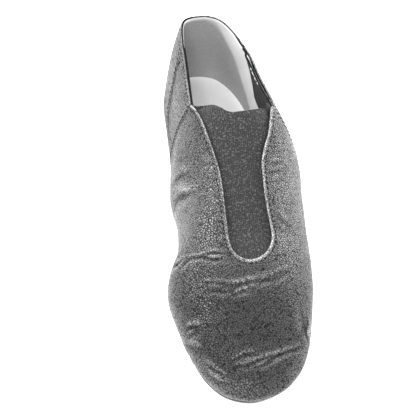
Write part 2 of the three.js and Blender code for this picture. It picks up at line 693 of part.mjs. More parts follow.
/** The heel block under the back of the outsole, with a hollow front face. */
function makeHeel() {
  const inset = SOLE_INSET + SOLE_BEVEL;
  const span = walkAt("inner", HEEL_BREAST);
  const edgeAt = (walk, extra) => drawIn(ribEnds(walk).edge, walk, inset + extra);
  const ring = (extra) => {
    const back = Array.from({ length: HEEL_STEPS + 1 }, (_, i) => edgeAt(lerp(span, -span, i / HEEL_STEPS), extra));
    const [first, last] = [back[0], back.at(-1)];
    const front = Array.from({ length: BREAST_STEPS - 1 }, (_, i) => {
      const part = (i + 1) / BREAST_STEPS;
      const point = last.clone().lerp(first, part);
      point.y += BREAST_HOLLOW * Math.sin(Math.PI * part) + extra;
      return point;
    });
    return [...back, ...front].toReversed();
  };
  const upper = ring(0);
  const lower = ring(HEEL_TAPER);
  const raise = (points, z) => points.map(({ x, y }) => new THREE.Vector3(x + AXIS_X, y - LENGTH / 2, z));
  const faces = THREE.ShapeUtils.triangulateShape(upper, []);
  return solid("heel", RUBBER, { faces, outer: raise(upper, HEEL_HEIGHT - GAP), inner: raise(lower, 0) });
}

const shoe = new THREE.Group();
shoe.add(makeUpper(), makeCounter(), makeGore(), makeInsole(), makeOutsole(), makeHeel());

export default shoe;
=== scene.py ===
"""A left slip-on jazz shoe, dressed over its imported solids.

The toe points to -Y, the inner side of the foot to -X and +Z is up. Sizes are millimetres until a point is
placed, which is in metres. The shoe is described as its last: an outline seen from above, and ribs that rise
from the outline to a spine along the middle. "walk" is the place along the outline: 0 is the back of the
heel, 1 and 5 the back pivot, 2 and 4 the front pivot, 3 the toe tip, with 0 to 3 on the inner side and 3 to 6
on the outer side. "turn" is the place along a rib: -70 degrees at the sole, 0 at the widest place, 90 degrees
at the spine. "at" is a share of the length, counted from the toe tip.
"""

import logging
import math
from bisect import bisect_left
from collections.abc import Callable, Sequence
from dataclasses import dataclass, field
from enum import Enum
from functools import cached_property

import bmesh
import bpy
from mathutils import Matrix, Vector, noise

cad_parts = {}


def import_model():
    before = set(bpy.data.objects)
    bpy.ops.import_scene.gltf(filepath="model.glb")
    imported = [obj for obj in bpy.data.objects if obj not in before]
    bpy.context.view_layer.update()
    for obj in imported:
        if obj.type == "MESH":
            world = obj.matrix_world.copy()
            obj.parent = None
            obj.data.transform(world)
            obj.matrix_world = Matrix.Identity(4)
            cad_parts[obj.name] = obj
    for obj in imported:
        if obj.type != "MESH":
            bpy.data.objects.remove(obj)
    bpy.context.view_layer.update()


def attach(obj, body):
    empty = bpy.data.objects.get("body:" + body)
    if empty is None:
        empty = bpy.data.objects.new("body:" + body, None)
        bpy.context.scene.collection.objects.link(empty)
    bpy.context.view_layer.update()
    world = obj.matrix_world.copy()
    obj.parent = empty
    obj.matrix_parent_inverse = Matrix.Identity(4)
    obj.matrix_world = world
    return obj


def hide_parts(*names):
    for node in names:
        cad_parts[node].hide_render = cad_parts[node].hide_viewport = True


log = logging.getLogger("jazz_shoe")

MM = 0.001
# height of the finest relief, in metres
BUMP_DISTANCE = 0.0002
TOE_WALK = 3.0
FULL_WALK = 6.0
QUARTER_TURN = math.pi / 2
FEATHER_TURN = math.radians(70)
LENGTH = 245.0
ROUGH_SEAM_TO_TOE = 200.0
Pairs = Sequence[tuple[float, float]]
# points along a line, each with the outward direction there
Trail = Sequence[tuple[Vector, Vector]]


class Side(Enum):
    """The two sides of the foot, with the sign of x on that side."""

    INNER = -1
    OUTER = 1


def clamp(value: float, low: float, high: float) -> float:
    """value, kept between low and high."""
    return max(low, min(high, value))


def lerp(a: float, b: float, share: float) -> float:
    """The value at a share of the way from a to b."""
    return a + (b - a) * share


def ease(value: float, low: float, high: float) -> float:
    """0 below low, 1 above high, and a smooth step between them. low may be the larger."""
    share = clamp((value - low) / (high - low), 0.0, 1.0)
    return share * share * (3 - 2 * share)


def bell(value: float, centre: float, width: float) -> float:
    """1 at the centre, falling smoothly to nearly 0 two widths away from it."""
    return math.exp(-(((value - centre) / width) ** 2))


def between(keys: Sequence[float], values: Sequence[float], x: float) -> float:
    """The value at x on straight lines through sorted keys."""
    i = int(clamp(bisect_left(keys, x), 1, len(keys) - 1))
    width = keys[i] - keys[i - 1]
    share = clamp((x - keys[i - 1]) / width, 0.0, 1.0) if width else 0.0
    return lerp(values[i - 1], values[i], share)


def reach(rising: Callable[[float], float], level: float, low: float, high: float) -> float:
    """The place between low and high where a rising function first reaches a level."""
    for _ in range(26):
        middle = (low + high) / 2
        if rising(middle) < level:
            low = middle
        else:
            high = middle
    return (low + high) / 2


class Smooth:
    """A smooth curve through the rows of a table, which never swings past them."""

    def __init__(self, rows: Pairs) -> None:
        """Works out the slope at each row.

        Args:
            rows: pairs of a place and the value there, in order of place.
        """
        self.at = [row[0] for row in rows]
        self.value = [row[1] for row in rows]
        last = len(rows) - 1
        slope = [(self.value[i + 1] - self.value[i]) / (self.at[i + 1] - self.at[i]) for i in range(last)]
        self.tangent = [slope[0]]
        for before, after in zip(slope, slope[1:]):
            self.tangent.append(2 * before * after / (before + after) if before * after > 0 else 0.0)
        self.tangent.append(slope[-1])

    def __call__(self, place: float) -> float:
        """The value at a place, held beyond the first and last rows."""
        x = clamp(place, self.at[0], self.at[-1])
        i = int(clamp(bisect_left(self.at, x) - 1, 0, len(self.at) - 2))
        width = self.at[i + 1] - self.at[i]
        t = (x - self.at[i]) / width
        rise = self.value[i + 1] - self.value[i]
        leave = t * (1 - t) * (1 - t) * self.tangent[i]
        arrive = t * t * (t - 1) * self.tangent[i + 1]
        return self.value[i] + rise * t * t * (3 - 2 * t) + width * (leave + arrive)


def curve(rows: Sequence[Sequence[float]], column: int) -> Smooth:
    """The curve of one column of a table whose first column is the place."""
    return Smooth([(row[0], row[column]) for row in rows])


def by_side(rows: Sequence[Sequence[float]], inner: int = 1) -> dict[Side, Smooth]:
    """Curves for both sides: a table's column for the inner side, and the next one for the outer side."""
    return {side: curve(rows, inner + step) for step, side in enumerate(Side)}


def closed_curve(corners: Sequence[tuple[float, float]], steps: int) -> list[tuple[float, float]]:
    """A closed centripetal Catmull-Rom curve.

    Args:
        corners: the points it goes through.
        steps: how many points it gets between two corners.

    Returns:
        The points, from the first corner round to it again.
    """
    count = len(corners)
    points = []
    for i in range(count):
        four = [corners[(i + k) % count] for k in (-1, 0, 1, 2)]
        gaps = [math.dist(four[k], four[k + 1]) ** 0.5 for k in range(3)]
        for step in range(steps):
            t = step / steps
            place = []
            for axis in (0, 1):
                a, b, c, d = (point[axis] for point in four)
                leave = (b - a) / gaps[0] - (c - a) / (gaps[0] + gaps[1]) + (c - b) / gaps[1]
                arrive = (c - b) / gaps[1] - (d - b) / (gaps[1] + gaps[2]) + (d - c) / gaps[2]
                leave *= gaps[1]
                arrive *= gaps[1]
                bend = -3 * b + 3 * c - 2 * leave - arrive
                twist = 2 * b - 2 * c + leave + arrive
                place.append(b + t * (leave + t * (bend + t * twist)))
            points.append((place[0], place[1]))
    points.append(points[0])
    return points


@dataclass(frozen=True)
class Rib:
    """One rib: its side, its place on the outline and its foot on the spine, seen from above."""

    side: Side
    edge: tuple[float, float]
    foot: tuple[float, float]
    fan: bool

    @property
    def at(self) -> float:
        """Share of the length at the outline."""
        return self.edge[1] / LENGTH

    @property
    def span(self) -> float:
        """Distance from the outline to the spine."""
        return math.dist(self.edge, self.foot)


@dataclass
class Last:
    """The form of the foot that every soft piece is laid on."""

    ball: float = 42.0
    instep_height: float = 90.0
    collar_height: float = 70.0
    heel_height: float = 6.0
    toe_spring: float = 6.0
    sole_thickness: float = 3.7
    gap: float = 0.3
    # shares of the length where the toe spring ends, and between which the sole rises to the heel
    spring_end: float = 0.2
    arch_start: float = 0.34
    arch_end: float = 0.65
    front_pivot: float = 0.34
    back_pivot: float = 0.88
    fan_slope: float = 0.3
    toe_tip: float = -0.11
    ears: dict[Side, float] = field(default_factory=lambda: {Side.INNER: 0.642, Side.OUTER: 0.614})
    seam_feet: dict[Side, float] = field(default_factory=lambda: {Side.INNER: 0.668, Side.OUTER: 0.52})
    throat_front: float = 0.375
    # at, inner and outer half width as shares of the ball
    outline: Sequence[tuple[float, float, float]] = (
        (0.018, 0.44, 0.25),
        (0.055, 0.64, 0.5),
        (0.11, 0.79, 0.69),
        (0.19, 0.91, 0.84),
        (0.27, 0.985, 0.955),
        (0.33, 0.925, 1.0),
        (0.39, 0.765, 1.01),
        (0.46, 0.72, 1.035),
        (0.54, 0.75, 1.06),
        (0.64, 0.675, 0.935),
        (0.75, 0.65, 0.8),
        (0.86, 0.625, 0.71),
        (0.94, 0.49, 0.54),
        (0.985, 0.32, 0.32),
    )
    # at, sideways place of the spine as a share of the ball, its height as a share of the instep's
    spine: Sequence[tuple[float, float, float]] = (
        (0.34, 0.05, 0.557),
        (0.45, 0.045, 0.741),
        (0.62, 0.03, 1.0),
        (0.88, 0.0, 1.07),
    )
    # at, height of the widest place as a share of the collar's, turned-in width as a share of the ball,
    # roundness of the inner and outer side, roundness of the shoulder
    ribs: Sequence[tuple[float, float, float, float, float, float]] = (
        (0.0, 0.13, 0.143, 2.0, 2.0, 2.2),
        (0.3, 0.15, 0.143, 1.92, 1.91, 2.2),
        (0.5, 0.185, 0.125, 1.93, 2.33, 2.2),
        (0.65, 0.205, 0.115, 1.82, 2.3, 2.22),
        (0.86, 0.215, 0.095, 1.3, 2.35, 2.3),
        (1.0, 0.23, 0.095, 2.0, 2.0, 2.3),
    )
    # at, height of the collar on the inner and outer side as shares of the collar's height
    collar: Sequence[tuple[float, float, float]] = (
        (0.614, 1.05, 1.035),
        (0.642, 1.045, 1.01),
        (0.75, 1.06, 0.94),
        (0.88, 1.07, 0.89),
        (1.0, 1.0, 1.0),
    )
    # at, half width of the throat on the inner and outer side as shares of the ball
    throat: Sequence[tuple[float, float, float]] = (
        (0.34, 0.24, 0.335),
        (0.41, 0.245, 0.3),
        (0.46, 0.26, 0.305),
        (0.49, 0.295, 0.35),
        (0.53, 0.35, 0.46),
        (0.57, 0.4, 0.53),
        (0.6, 0.435, 0.585),
    )

    def __post_init__(self) -> None:
        """Lays out the outline and the curves that the form is read from."""
        corners = [(0.0, LENGTH)]
        corners += [(-row[1] * self.ball, row[0] * LENGTH) for row in reversed(self.outline)]
        corners += [(self.toe_tip * self.ball, 0.0)]
        corners += [(row[2] * self.ball, row[0] * LENGTH) for row in self.outline]
        steps = 40
        points = closed_curve(corners, steps)
        toe = (len(self.outline) + 1) * steps
        across = [x for x, _ in points]
        self.axis_x = -(max(across) + min(across)) / 2
        self.spine_side, self.spine_height = curve(self.spine, 1), curve(self.spine, 2)
        self.level, self.tuck, self.shoulder = (curve(self.ribs, column) for column in (1, 2, 5))
        self.roundness = by_side(self.ribs, 3)
        self.legs = {}
        self.fans = {}
        for side, stretch in ((Side.INNER, points[: toe + 1]), (Side.OUTER, points[toe:])):
            leg = sorted((y, x) for x, y in stretch if 0.15 * LENGTH < y < 0.97 * LENGTH)
            self.legs[side] = ([y for y, _ in leg], [x for _, x in leg])
            for forward in (True, False):
                self.fans[side, forward] = self._fan(side, points[1:], forward)
        self.collar_line = by_side(self.collar)
        self.ear_walks = {side: self.walk_at(side, at) for side, at in self.ears.items()}
        self.seam_walks = {side: self.walk_at(side, at) for side, at in self.seam_feet.items()}
        self.throat_line = {side: self._throat(side) for side in Side}

    def _fan(self, side: Side, points: Pairs, forward: bool) -> tuple[list[float], list[float]]:
        """Angles and radii of the outline round a pivot. Angle 0 looks away from the other pivot."""
        pivot = self.front_pivot if forward else self.back_pivot
        centre = (self.spine_side(pivot) * self.ball, pivot * LENGTH)
        rows = []
        for x, y in points:
            across = (x - centre[0]) * side.value
            along = (centre[1] - y) if forward else (y - centre[1])
            angle = math.atan2(across, along)
            if abs(angle) < 0.75 * math.pi:
                rows.append((angle, math.hypot(across, along)))
        rows.sort()
        return [row[0] for row in rows], [row[1] for row in rows]

    def _throat(self, side: Side) -> Smooth:
        """Half width of the throat on one side, whose last row is the ear at the collar's height."""
        column = 1 if side is Side.INNER else 2
        walk = self.ear_walks[side]
        ear = self.form(walk, self.collar_turn(walk))
        span = abs(ear.x - self.axis_x - self.rib(walk).foot[0]) / self.ball
        rows = [(row[0], row[column]) for row in self.throat if row[0] < self.ears[side]]
        return Smooth([*rows, (self.ears[side], span)])

    def walk_at(self, side: Side, at: float) -> float:
        """The walk at a share of the length, between the two pivots."""
        along = 1 + (self.back_pivot - at) / (self.back_pivot - self.front_pivot)
        return along if side is Side.INNER else FULL_WALK - along

    def rib(self, any_walk: float) -> Rib:
        """The rib at a walk, which may run on past a full round."""
        walk = any_walk % FULL_WALK
        side = Side.INNER if walk <= TOE_WALK else Side.OUTER
        along = walk if side is Side.INNER else FULL_WALK - walk
        if 1 <= along <= 2:
            y = lerp(self.back_pivot, self.front_pivot, along - 1) * LENGTH
            edge = (between(*self.legs[side], y), y)
            return Rib(side, edge, (self.spine_side(y / LENGTH) * self.ball, y), False)
        forward = along > 2
        pivot = self.front_pivot if forward else self.back_pivot
        foot = (self.spine_side(pivot) * self.ball, pivot * LENGTH)
        angles, radii = self.fans[side, forward]
        part = (TOE_WALK - along if forward else along) * QUARTER_TURN
        stretch = between(angles, radii, 0.0) / between(angles, radii, QUARTER_TURN)
        angle = math.atan2(math.sin(part), math.cos(part) * stretch)
        radius = between(angles, radii, angle)
        x = foot[0] + side.value * radius * math.sin(angle)
        y = foot[1] + (-1 if forward else 1) * radius * math.cos(angle)
        return Rib(side, (x, y), foot, forward)

    def sole_line(self, y: float) -> float:
        """Height of the underside of the upper above the floor, at a distance from the toe tip."""
        at = y / LENGTH
        spring = self.toe_spring * clamp((self.spring_end - at) / self.spring_end, 0, 1) ** 2
        climb = clamp((at - self.arch_start) / (self.arch_end - self.arch_start), 0, 1) ** 1.5
        arch = self.heel_height * climb
        return self.sole_thickness + self.gap + spring + arch

    def on(self, rib: Rib, turn: float) -> Vector:
        """The point of the form on a rib, in millimetres."""
        at = rib.at
        tuck = self.tuck(at) * self.ball
        feather = self.sole_line(lerp(rib.edge[1], rib.foot[1], tuck / rib.span))
        widest = feather + self.level(at) * self.collar_height
        ramp = max(self.front_pivot * LENGTH - rib.edge[1], 0) * self.fan_slope
        if turn < 0:
            inward = tuck * (1 - math.cos(turn)) / (1 - math.cos(FEATHER_TURN)) / rib.span
            height = widest + (widest - feather) * math.sin(turn) / math.sin(FEATHER_TURN)
        else:
            ridge = self.spine_height(rib.foot[1] / LENGTH) * self.instep_height
            inward = 1 - max(math.cos(turn), 0) ** (2 / self.shoulder(at))
            rise = max(math.sin(turn), 0) ** (2 / self.roundness[rib.side](at))
            height = widest + (ridge - widest - ramp) * rise + ramp * inward
        x = lerp(rib.edge[0], rib.foot[0], inward) + self.axis_x
        return Vector((x, lerp(rib.edge[1], rib.foot[1], inward) - LENGTH / 2, height))

    def form(self, walk: float, turn: float) -> Vector:
        """The point of the form at a walk and a turn, in millimetres."""
        return self.on(self.rib(walk), turn)

    def normal(self, walk: float, turn: float) -> Vector:
        """The outward direction of the form."""
        small = 0.004
        rib = self.rib(walk)
        if turn > QUARTER_TURN - small:
            at = rib.foot[1] / LENGTH
            rise = (self.spine_height(at + small) - self.spine_height(at - small)) * self.instep_height
            slope = self.fan_slope if rib.fan else rise / (2 * small * LENGTH)
            return Vector((0, -slope, 1)).normalized()
        across = self.form(walk + small, turn) - self.form(walk - small, turn)
        up = self.on(rib, turn + small) - self.on(rib, turn - small)
        return across.cross(up).normalized()

    def skin(self, walk: float, turn: float, offset: float) -> Vector:
        """A point at a distance outside the form, or inside it where the distance is negative."""
        return self.form(walk, turn) + self.normal(walk, turn) * offset

    def turn_at_span(self, walk: float, span: float) -> float:
        """The turn at which a rib comes within a distance of the spine, seen from above."""
        rib = self.rib(walk)
        return math.acos(clamp(span / rib.span, 0, 1) ** (self.shoulder(rib.at) / 2))

    def collar_turn(self, walk: float) -> float:
        """The turn of the collar's edge on a rib behind the ear."""
        rib = self.rib(walk)
        height = self.collar_line[rib.side](rib.at) * self.collar_height
        return reach(lambda turn: self.on(rib, turn).z, height, 0, QUARTER_TURN)

    def throat_reach(self, walk: float) -> float:
        """Distance of the throat's edge from the spine, along a rib ahead of the ear."""
        rib = self.rib(walk)
        if not rib.fan:
            return self.throat_line[rib.side](rib.at) * self.ball
        forward = (rib.edge[1] - rib.foot[1]) / rib.span
        beside = self.throat_line[rib.side](self.front_pivot)
        return lerp(beside, self.throat_front, forward * forward) * self.ball

    def top_turn(self, walk: float) -> float:
        """The turn of the upper's top edge on any rib."""
        open_here = self.ear_walks[Side.INNER] < walk < self.ear_walks[Side.OUTER]
        return self.turn_at_span(walk, self.throat_reach(walk)) if open_here else self.collar_turn(walk)

    def walk_over(self, distance: float) -> float:
        """How far apart along the walk two columns are that lie a distance apart at a side seam."""
        return distance / (LENGTH * (self.back_pivot - self.front_pivot))


@dataclass
class Column:
    """A line up the upper, from a walk at the sole to a walk at the top edge, sheared like the side seams."""

    last: Last
    foot_walk: float
    top_walk: float
    seam_distance: float = 99.0

    def __post_init__(self) -> None:
        """Measures the column."""
        self.top = self.last.top_turn(self.top_walk)
        steps = 24
        marks = [self.last.form(*self.at(i / steps)) for i in range(steps + 1)]
        self.heights = [0.0]
        for a, b in zip(reversed(marks), list(reversed(marks))[1:]):
            self.heights.append(self.heights[-1] + (a - b).length)
        self.shares = [i / steps for i in range(steps, -1, -1)]

    def at(self, share: float) -> tuple[float, float]:
        """Walk and turn at a share of the way up."""
        return lerp(self.foot_walk, self.top_walk, share**3), lerp(-FEATHER_TURN, self.top, share)

    def below(self, distance: float) -> float:
        """The share that lies a distance below the top edge."""
        return between(self.heights, self.shares, distance)


def quarter_columns(last: Last, side: Side, count: int, short: float = 0.0) -> list[Column]:
    """Columns of a quarter, from the back of the heel up to a distance short of its side seam."""
    ends = (last.seam_walks[side], last.ear_walks[side])
    whole = [walk if side is Side.INNER else FULL_WALK - walk for walk in ends]
    columns = []
    for i in range(count + 1):
        reached = [min(i / count * walk, walk - last.walk_over(short)) for walk in whole]
        walks = reached if side is Side.INNER else [FULL_WALK - walk for walk in reached]
        columns.append(Column(last, walks[0], walks[1]))
    return columns


def vamp_columns(last: Last, side: Side, count: int, rim: Sequence[float]) -> list[Column]:
    """Columns of the vamp on one side, from its seam to the toe tip.

    Args:
        last: the form.
        side: the side of the foot.
        count: how many columns follow the ones near the seam.
        rim: distances from the seam of the columns near it.

    Returns:
        The columns. Those past the rim have only a rough distance from the seam.
    """
    seam, ear = last.seam_walks[side], last.ear_walks[side]
    sign = -side.value
    columns = []
    for distance in rim:
        step = last.walk_over(distance) * sign
        columns.append(Column(last, seam + step, ear + step, distance))
    start = last.walk_over(rim[-1]) * sign
    for i in range(1, count + 1):
        part = i / count
        walks = (lerp(seam + start, TOE_WALK, part), lerp(ear + start, TOE_WALK, part))
        columns.append(Column(last, *walks, rim[-1] + part * ROUGH_SEAM_TO_TOE))
    return columns


def round_toe(half: Callable[[Side], list]) -> list:
    """Up the inner side and back down the outer side, where each half ends at the toe tip."""
    inner, outer = (half(side) for side in Side)
    return [*inner, *outer[-2::-1]]


def round_heel(half: Callable[[Side], list]) -> list:
    """Back along the outer side and up the inner side, where each half starts at the back of the heel."""
    inner, outer = (half(side) for side in Side)
    return [*outer[::-1], *inner[1:]]


@dataclass(frozen=True)
class Crease:
    """A fold that walking has left in the leather, as a line seen from above."""

    # share of the length, place across in millimetres
    line: Pairs
    depth: float
    width: float

    @cached_property
    def box(self) -> tuple[float, float, float, float]:
        """Lowest and highest x and y that the fold reaches."""
        reached = 5 * self.width
        across = [x for _, x in self.line]
        along = [at * LENGTH for at, _ in self.line]
        return min(across) - reached, max(across) + reached, min(along) - reached, max(along) + reached

    def depth_at(self, x: float, y: float) -> float:
        """How far the leather rises at a place seen from above; below zero it sinks."""
        left, right, front, back = self.box
        if not (left < x < right and front < y < back):
            return 0.0
        best = math.inf
        signed = 0.0
        part = 0.0
        total = len(self.line) - 1
        for i in range(total):
            (a_at, ax), (b_at, bx) = self.line[i], self.line[i + 1]
            ay, by = a_at * LENGTH, b_at * LENGTH
            dx, dy = bx - ax, by - ay
            share = clamp(((x - ax) * dx + (y - ay) * dy) / (dx * dx + dy * dy), 0, 1)
            off_x, off_y = x - ax - dx * share, y - ay - dy * share
            distance = off_x * off_x + off_y * off_y
            if distance < best:
                best = distance
                signed = math.copysign(math.sqrt(distance), dx * off_y - dy * off_x)
                part = (i + share) / total
        if best > (5 * self.width) ** 2:
            return 0.0
        fade = math.sin(math.pi * clamp(part, 0.0, 1.0)) ** 0.6 if 0 < part < 1 else 0.0
        trough = bell(signed, 0.0, self.width)
        ridge = bell(signed, 1.8 * self.width, 1.2 * self.width)
        far = bell(signed, -2.0 * self.width, 1.5 * self.width)
        return self.depth * fade * (0.55 * ridge + 0.3 * far - trough)


@dataclass(frozen=True)
class Spot:
    """Where a grid's vertex goes, in millimetres, its share of wear and painted highlight, and its share of
    painted shade, which on the lining stands for the heel pocket instead.
    """

    place: Vector
    wear_and_painted_highlight: float = 0.0
    mark: float = 0.0


def to_object(name: str, bm: bmesh.types.BMesh, smooth: bool = True) -> bpy.types.Object:
    """An object in the scene from a finished bmesh, which is freed."""
    mesh = bpy.data.meshes.new(name)
    bm.to_mesh(mesh)
    bm.free()
    if smooth:
        mesh.polygons.foreach_set("use_smooth", [True] * len(mesh.polygons))
    piece = bpy.data.objects.new(name, mesh)
    bpy.context.scene.collection.objects.link(piece)
    return piece


def make_piece(
    name: str, across: int, up: int, spot: Callable[[int, int], Spot], flip: bool = False, weld: bool = False
) -> bpy.types.Object:
    """A soft piece from a flat grid whose vertices are moved onto the shoe.

    Args:
        name: the piece's name.
        across: number of columns less one.
        up: number of rows less one.
        spot: gives the place of a column and a row.
        flip: True where the visible side looks into the shoe.
        weld: True where the first and last columns, or whole rows, meet.

    Returns:
        The object, with a UV map in metres and two attributes: wear with painted highlight, and painted
        shade, which on the lining stands for the heel pocket.
    """
    bm = bmesh.new()
    bmesh.ops.create_grid(bm, x_segments=across, y_segments=up, size=1.0)
    wear_and_painted_highlight = bm.verts.layers.float.new("wear_and_painted_highlight")
    mark = bm.verts.layers.float.new("mark")
    places = {}
    spots = {}
    for vert in bm.verts:
        key = (round((vert.co.x + 1) / 2 * across), round((vert.co.y + 1) / 2 * up))
        found = spot(*key)
        places[key] = found.place * MM
        spots[vert] = key
        vert.co = places[key]
        vert[wear_and_painted_highlight] = found.wear_and_painted_highlight
        vert[mark] = found.mark
    rise = {}
    along = [0.0]
    middle = up // 2
    for i in range(across + 1):
        rise[i, 0] = 0.0
        for j in range(1, up + 1):
            rise[i, j] = rise[i, j - 1] + (places[i, j] - places[i, j - 1]).length
        if i:
            along.append(along[-1] + (places[i, middle] - places[i - 1, middle]).length)
    layer = bm.loops.layers.uv.new("surface")
    for face in bm.faces:
        for loop in face.loops:
            i, j = spots[loop.vert]
            loop[layer].uv = (along[i], rise[i, j])
    if weld:
        bmesh.ops.remove_doubles(bm, verts=bm.verts, dist=1e-6)
    if flip:
        bmesh.ops.reverse_faces(bm, faces=bm.faces)
    return to_object(name, bm)


def thicken(piece: bpy.types.Object, thickness: float) -> None:
    """Gives a sheet its thickness, away from its visible side."""
    solid = piece.modifiers.new("thickness", "SOLIDIFY")
    solid.thickness = thickness * MM
    solid.offset = -1.0


def settle(piece: bpy.types.Object, material: bpy.types.Material, slot: str, *nodes: str) -> bpy.types.Object:
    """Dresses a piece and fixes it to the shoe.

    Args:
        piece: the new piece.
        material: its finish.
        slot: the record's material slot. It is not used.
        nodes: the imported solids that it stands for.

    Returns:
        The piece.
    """
    piece.data.materials.append(material)
    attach(piece, "root")
    if nodes:
        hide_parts(*nodes)
    return piece


class Bench:
    """Lays out nodes in a tree."""

    def __init__(self, tree: bpy.types.NodeTree) -> None:
        """Takes the tree that the nodes go into."""
        self.tree = tree

    def add(self, kind: str, settings: dict | None = None, **sockets: object) -> bpy.types.Node:
        """Adds a node.

        Args:
            kind: the node's type.
            settings: its own properties.
            sockets: input values or the sockets they are linked from. A name has _ for a space, and i0 or i1
                stands for the first or second input.

        Returns:
            The node.
        """
        node = self.tree.nodes.new(kind)
        for key, value in (settings or {}).items():
            setattr(node, key, value)
        self.feed(node, **sockets)
        return node

    def feed(self, node: bpy.types.Node, **sockets: object) -> None:
        """Sets or links a node's inputs, named as for add."""
        for key, value in sockets.items():
            numbered = key[0] == "i" and key[1:].isdigit()
            socket = node.inputs[int(key[1:]) if numbered else key.replace("_", " ")]
            if isinstance(value, bpy.types.NodeSocket):
                self.tree.links.new(value, socket)
            else:
                socket.default_value = value

    def place(self) -> bpy.types.NodeSocket:
        """The place on the shoe."""
        return self.add("ShaderNodeTexCoord").outputs["Object"]

    def noise(self, place: bpy.types.NodeSocket, scale: float, detail: float) -> bpy.types.NodeSocket:
        """Noise between 0 and 1."""
        return self.add("ShaderNodeTexNoise", {}, Vector=place, Scale=scale, Detail=detail).outputs[0]

    def attribute(self, name: str) -> bpy.types.NodeSocket:
        """A value that the mesh carries."""
        return self.add("ShaderNodeAttribute", {"attribute_name": name}).outputs["Fac"]

    def math(self, operation: str, a: object, b: object = 0.5) -> bpy.types.NodeSocket:
        """The result of a Math node."""
        return self.add("ShaderNodeMath", {"operation": operation}, i0=a, i1=b).outputs[0]

    def ramp(
        self, value: bpy.types.NodeSocket, low: float, high: float, a: float, b: float
    ) -> bpy.types.NodeSocket:
        """value, mapped from the range low to high onto the range a to b and held there."""
        limits = {"From_Min": low, "From_Max": high, "To_Min": a, "To_Max": b}
        node = self.add("ShaderNodeMapRange", {"interpolation_type": "SMOOTHSTEP"}, Value=value, **limits)
        return node.outputs[0]

    def mix(self, share: object, a: object, b: object) -> bpy.types.NodeSocket:
        """Colour a, changed into colour b by a share."""
        return self.add("ShaderNodeMix", {"data_type": "RGBA"}, i0=share, i6=a, i7=b).outputs[2]

    def bump(self, shader: bpy.types.Node, height: bpy.types.NodeSocket, strength: float) -> None:
        """Gives a shader fine relief."""
        node = self.add("ShaderNodeBump", {}, Strength=strength, Distance=BUMP_DISTANCE, Height=height)
        self.feed(shader, Normal=node.outputs[0])


def group(name: str, numbers: dict[str, float], outputs: Sequence[str]) -> tuple[bpy.types.NodeTree, Bench]:
    """A new node group.

    Args:
        name: the group's name.
        numbers: its inputs and their usual values.
        outputs: its outputs, all numbers.

    Returns:
        The tree, and a bench to fill it.
    """
    tree = bpy.data.node_groups.new(name, "ShaderNodeTree")
    for key, value in numbers.items():
        tree.interface.new_socket(key, in_out="INPUT", socket_type="NodeSocketFloat").default_value = value
    for key in outputs:
        tree.interface.new_socket(key, in_out="OUTPUT", socket_type="NodeSocketFloat")
    return tree, Bench(tree)


def grain_group() -> bpy.types.NodeTree:
    """Pebbled leather grain: its height, and a mask of the fine valleys between the pebbles."""
    tree, bench = group("leather_grain", {"Pebble": 900.0, "Depth": 1.0}, ("Height", "Valley"))
    inputs = bench.add("NodeGroupInput")
    outputs = bench.add("NodeGroupOutput")
    place = bench.place()
    bend = bench.add("ShaderNodeTexNoise", {}, Vector=place, Scale=260.0, Detail=2.0)
    shift = bench.add("ShaderNodeVectorMath", {"operation": "SCALE"}, i0=bend.outputs["Color"], Scale=0.0016)
    moved = bench.add("ShaderNodeVectorMath", {"operation": "ADD"}, i0=place, i1=shift.outputs[0]).outputs[0]
    pebbles = bench.add(
        "ShaderNodeTexVoronoi", {"feature": "DISTANCE_TO_EDGE"}, Vector=moved, Scale=inputs.outputs["Pebble"]
    ).outputs["Distance"]
    round_top = bench.ramp(pebbles, 0.0, 0.3, 0.0, 1.0)
    fine = bench.noise(place, 3200.0, 2.0)
    patch = bench.noise(place, 70.0, 3.0)
    strong = bench.math("MULTIPLY", round_top, bench.ramp(patch, 0.3, 0.7, 0.6, 1.0))
    height = bench.math("ADD", strong, bench.math("MULTIPLY", fine, 0.3))
    deep = bench.math("MULTIPLY", height, inputs.outputs["Depth"])
    bench.feed(outputs, Height=deep, Valley=bench.ramp(pebbles, 0.0, 0.22, 1.0, 0.0))
    return tree


def weave_group() -> bpy.types.NodeTree:
    """Narrow woven elastic: ribs along the shoe crossed by finer threads."""
    tree, bench = group("elastic_weave", {"Ribs": 900.0, "Threads": 1250.0}, ("Height", "Gap"))
    inputs = bench.add("NodeGroupInput")
    outputs = bench.add("NodeGroupOutput")
    place = bench.place()
    split = bench.add("ShaderNodeSeparateXYZ", {}, Vector=place)
    waves = []
    for key, axis in (("Ribs", 0), ("Threads", 1)):
        threads = bench.math("MULTIPLY", split.outputs[axis], inputs.outputs[key])
        turns = bench.math("MULTIPLY", threads, math.tau)
        waves.append(bench.ramp(bench.math("SINE", turns), -1.0, 1.0, 0.0, 1.0))
    speck = bench.noise(place, 1500.0, 2.0)
    cloth = bench.math("ADD", bench.math("MULTIPLY", waves[0], 0.6), bench.math("MULTIPLY", waves[1], 0.4))
    height = bench.math("ADD", cloth, bench.math("MULTIPLY", speck, 0.5))
    bench.feed(outputs, Height=height, Gap=bench.ramp(height, 0.3, 0.9, 1.0, 0.0))
    return tree


def grey(value: float) -> tuple[float, float, float, float]:
    """A neutral colour."""
    return (value, value, value, 1.0)


def new_material(name: str) -> tuple[bpy.types.Material, Bench, bpy.types.Node]:
    """A material with only its Principled shader and output."""
    material = bpy.data.materials.new(name)
    material.use_nodes = True
    bench = Bench(material.node_tree)
    return material, bench, material.node_tree.nodes["Principled BSDF"]


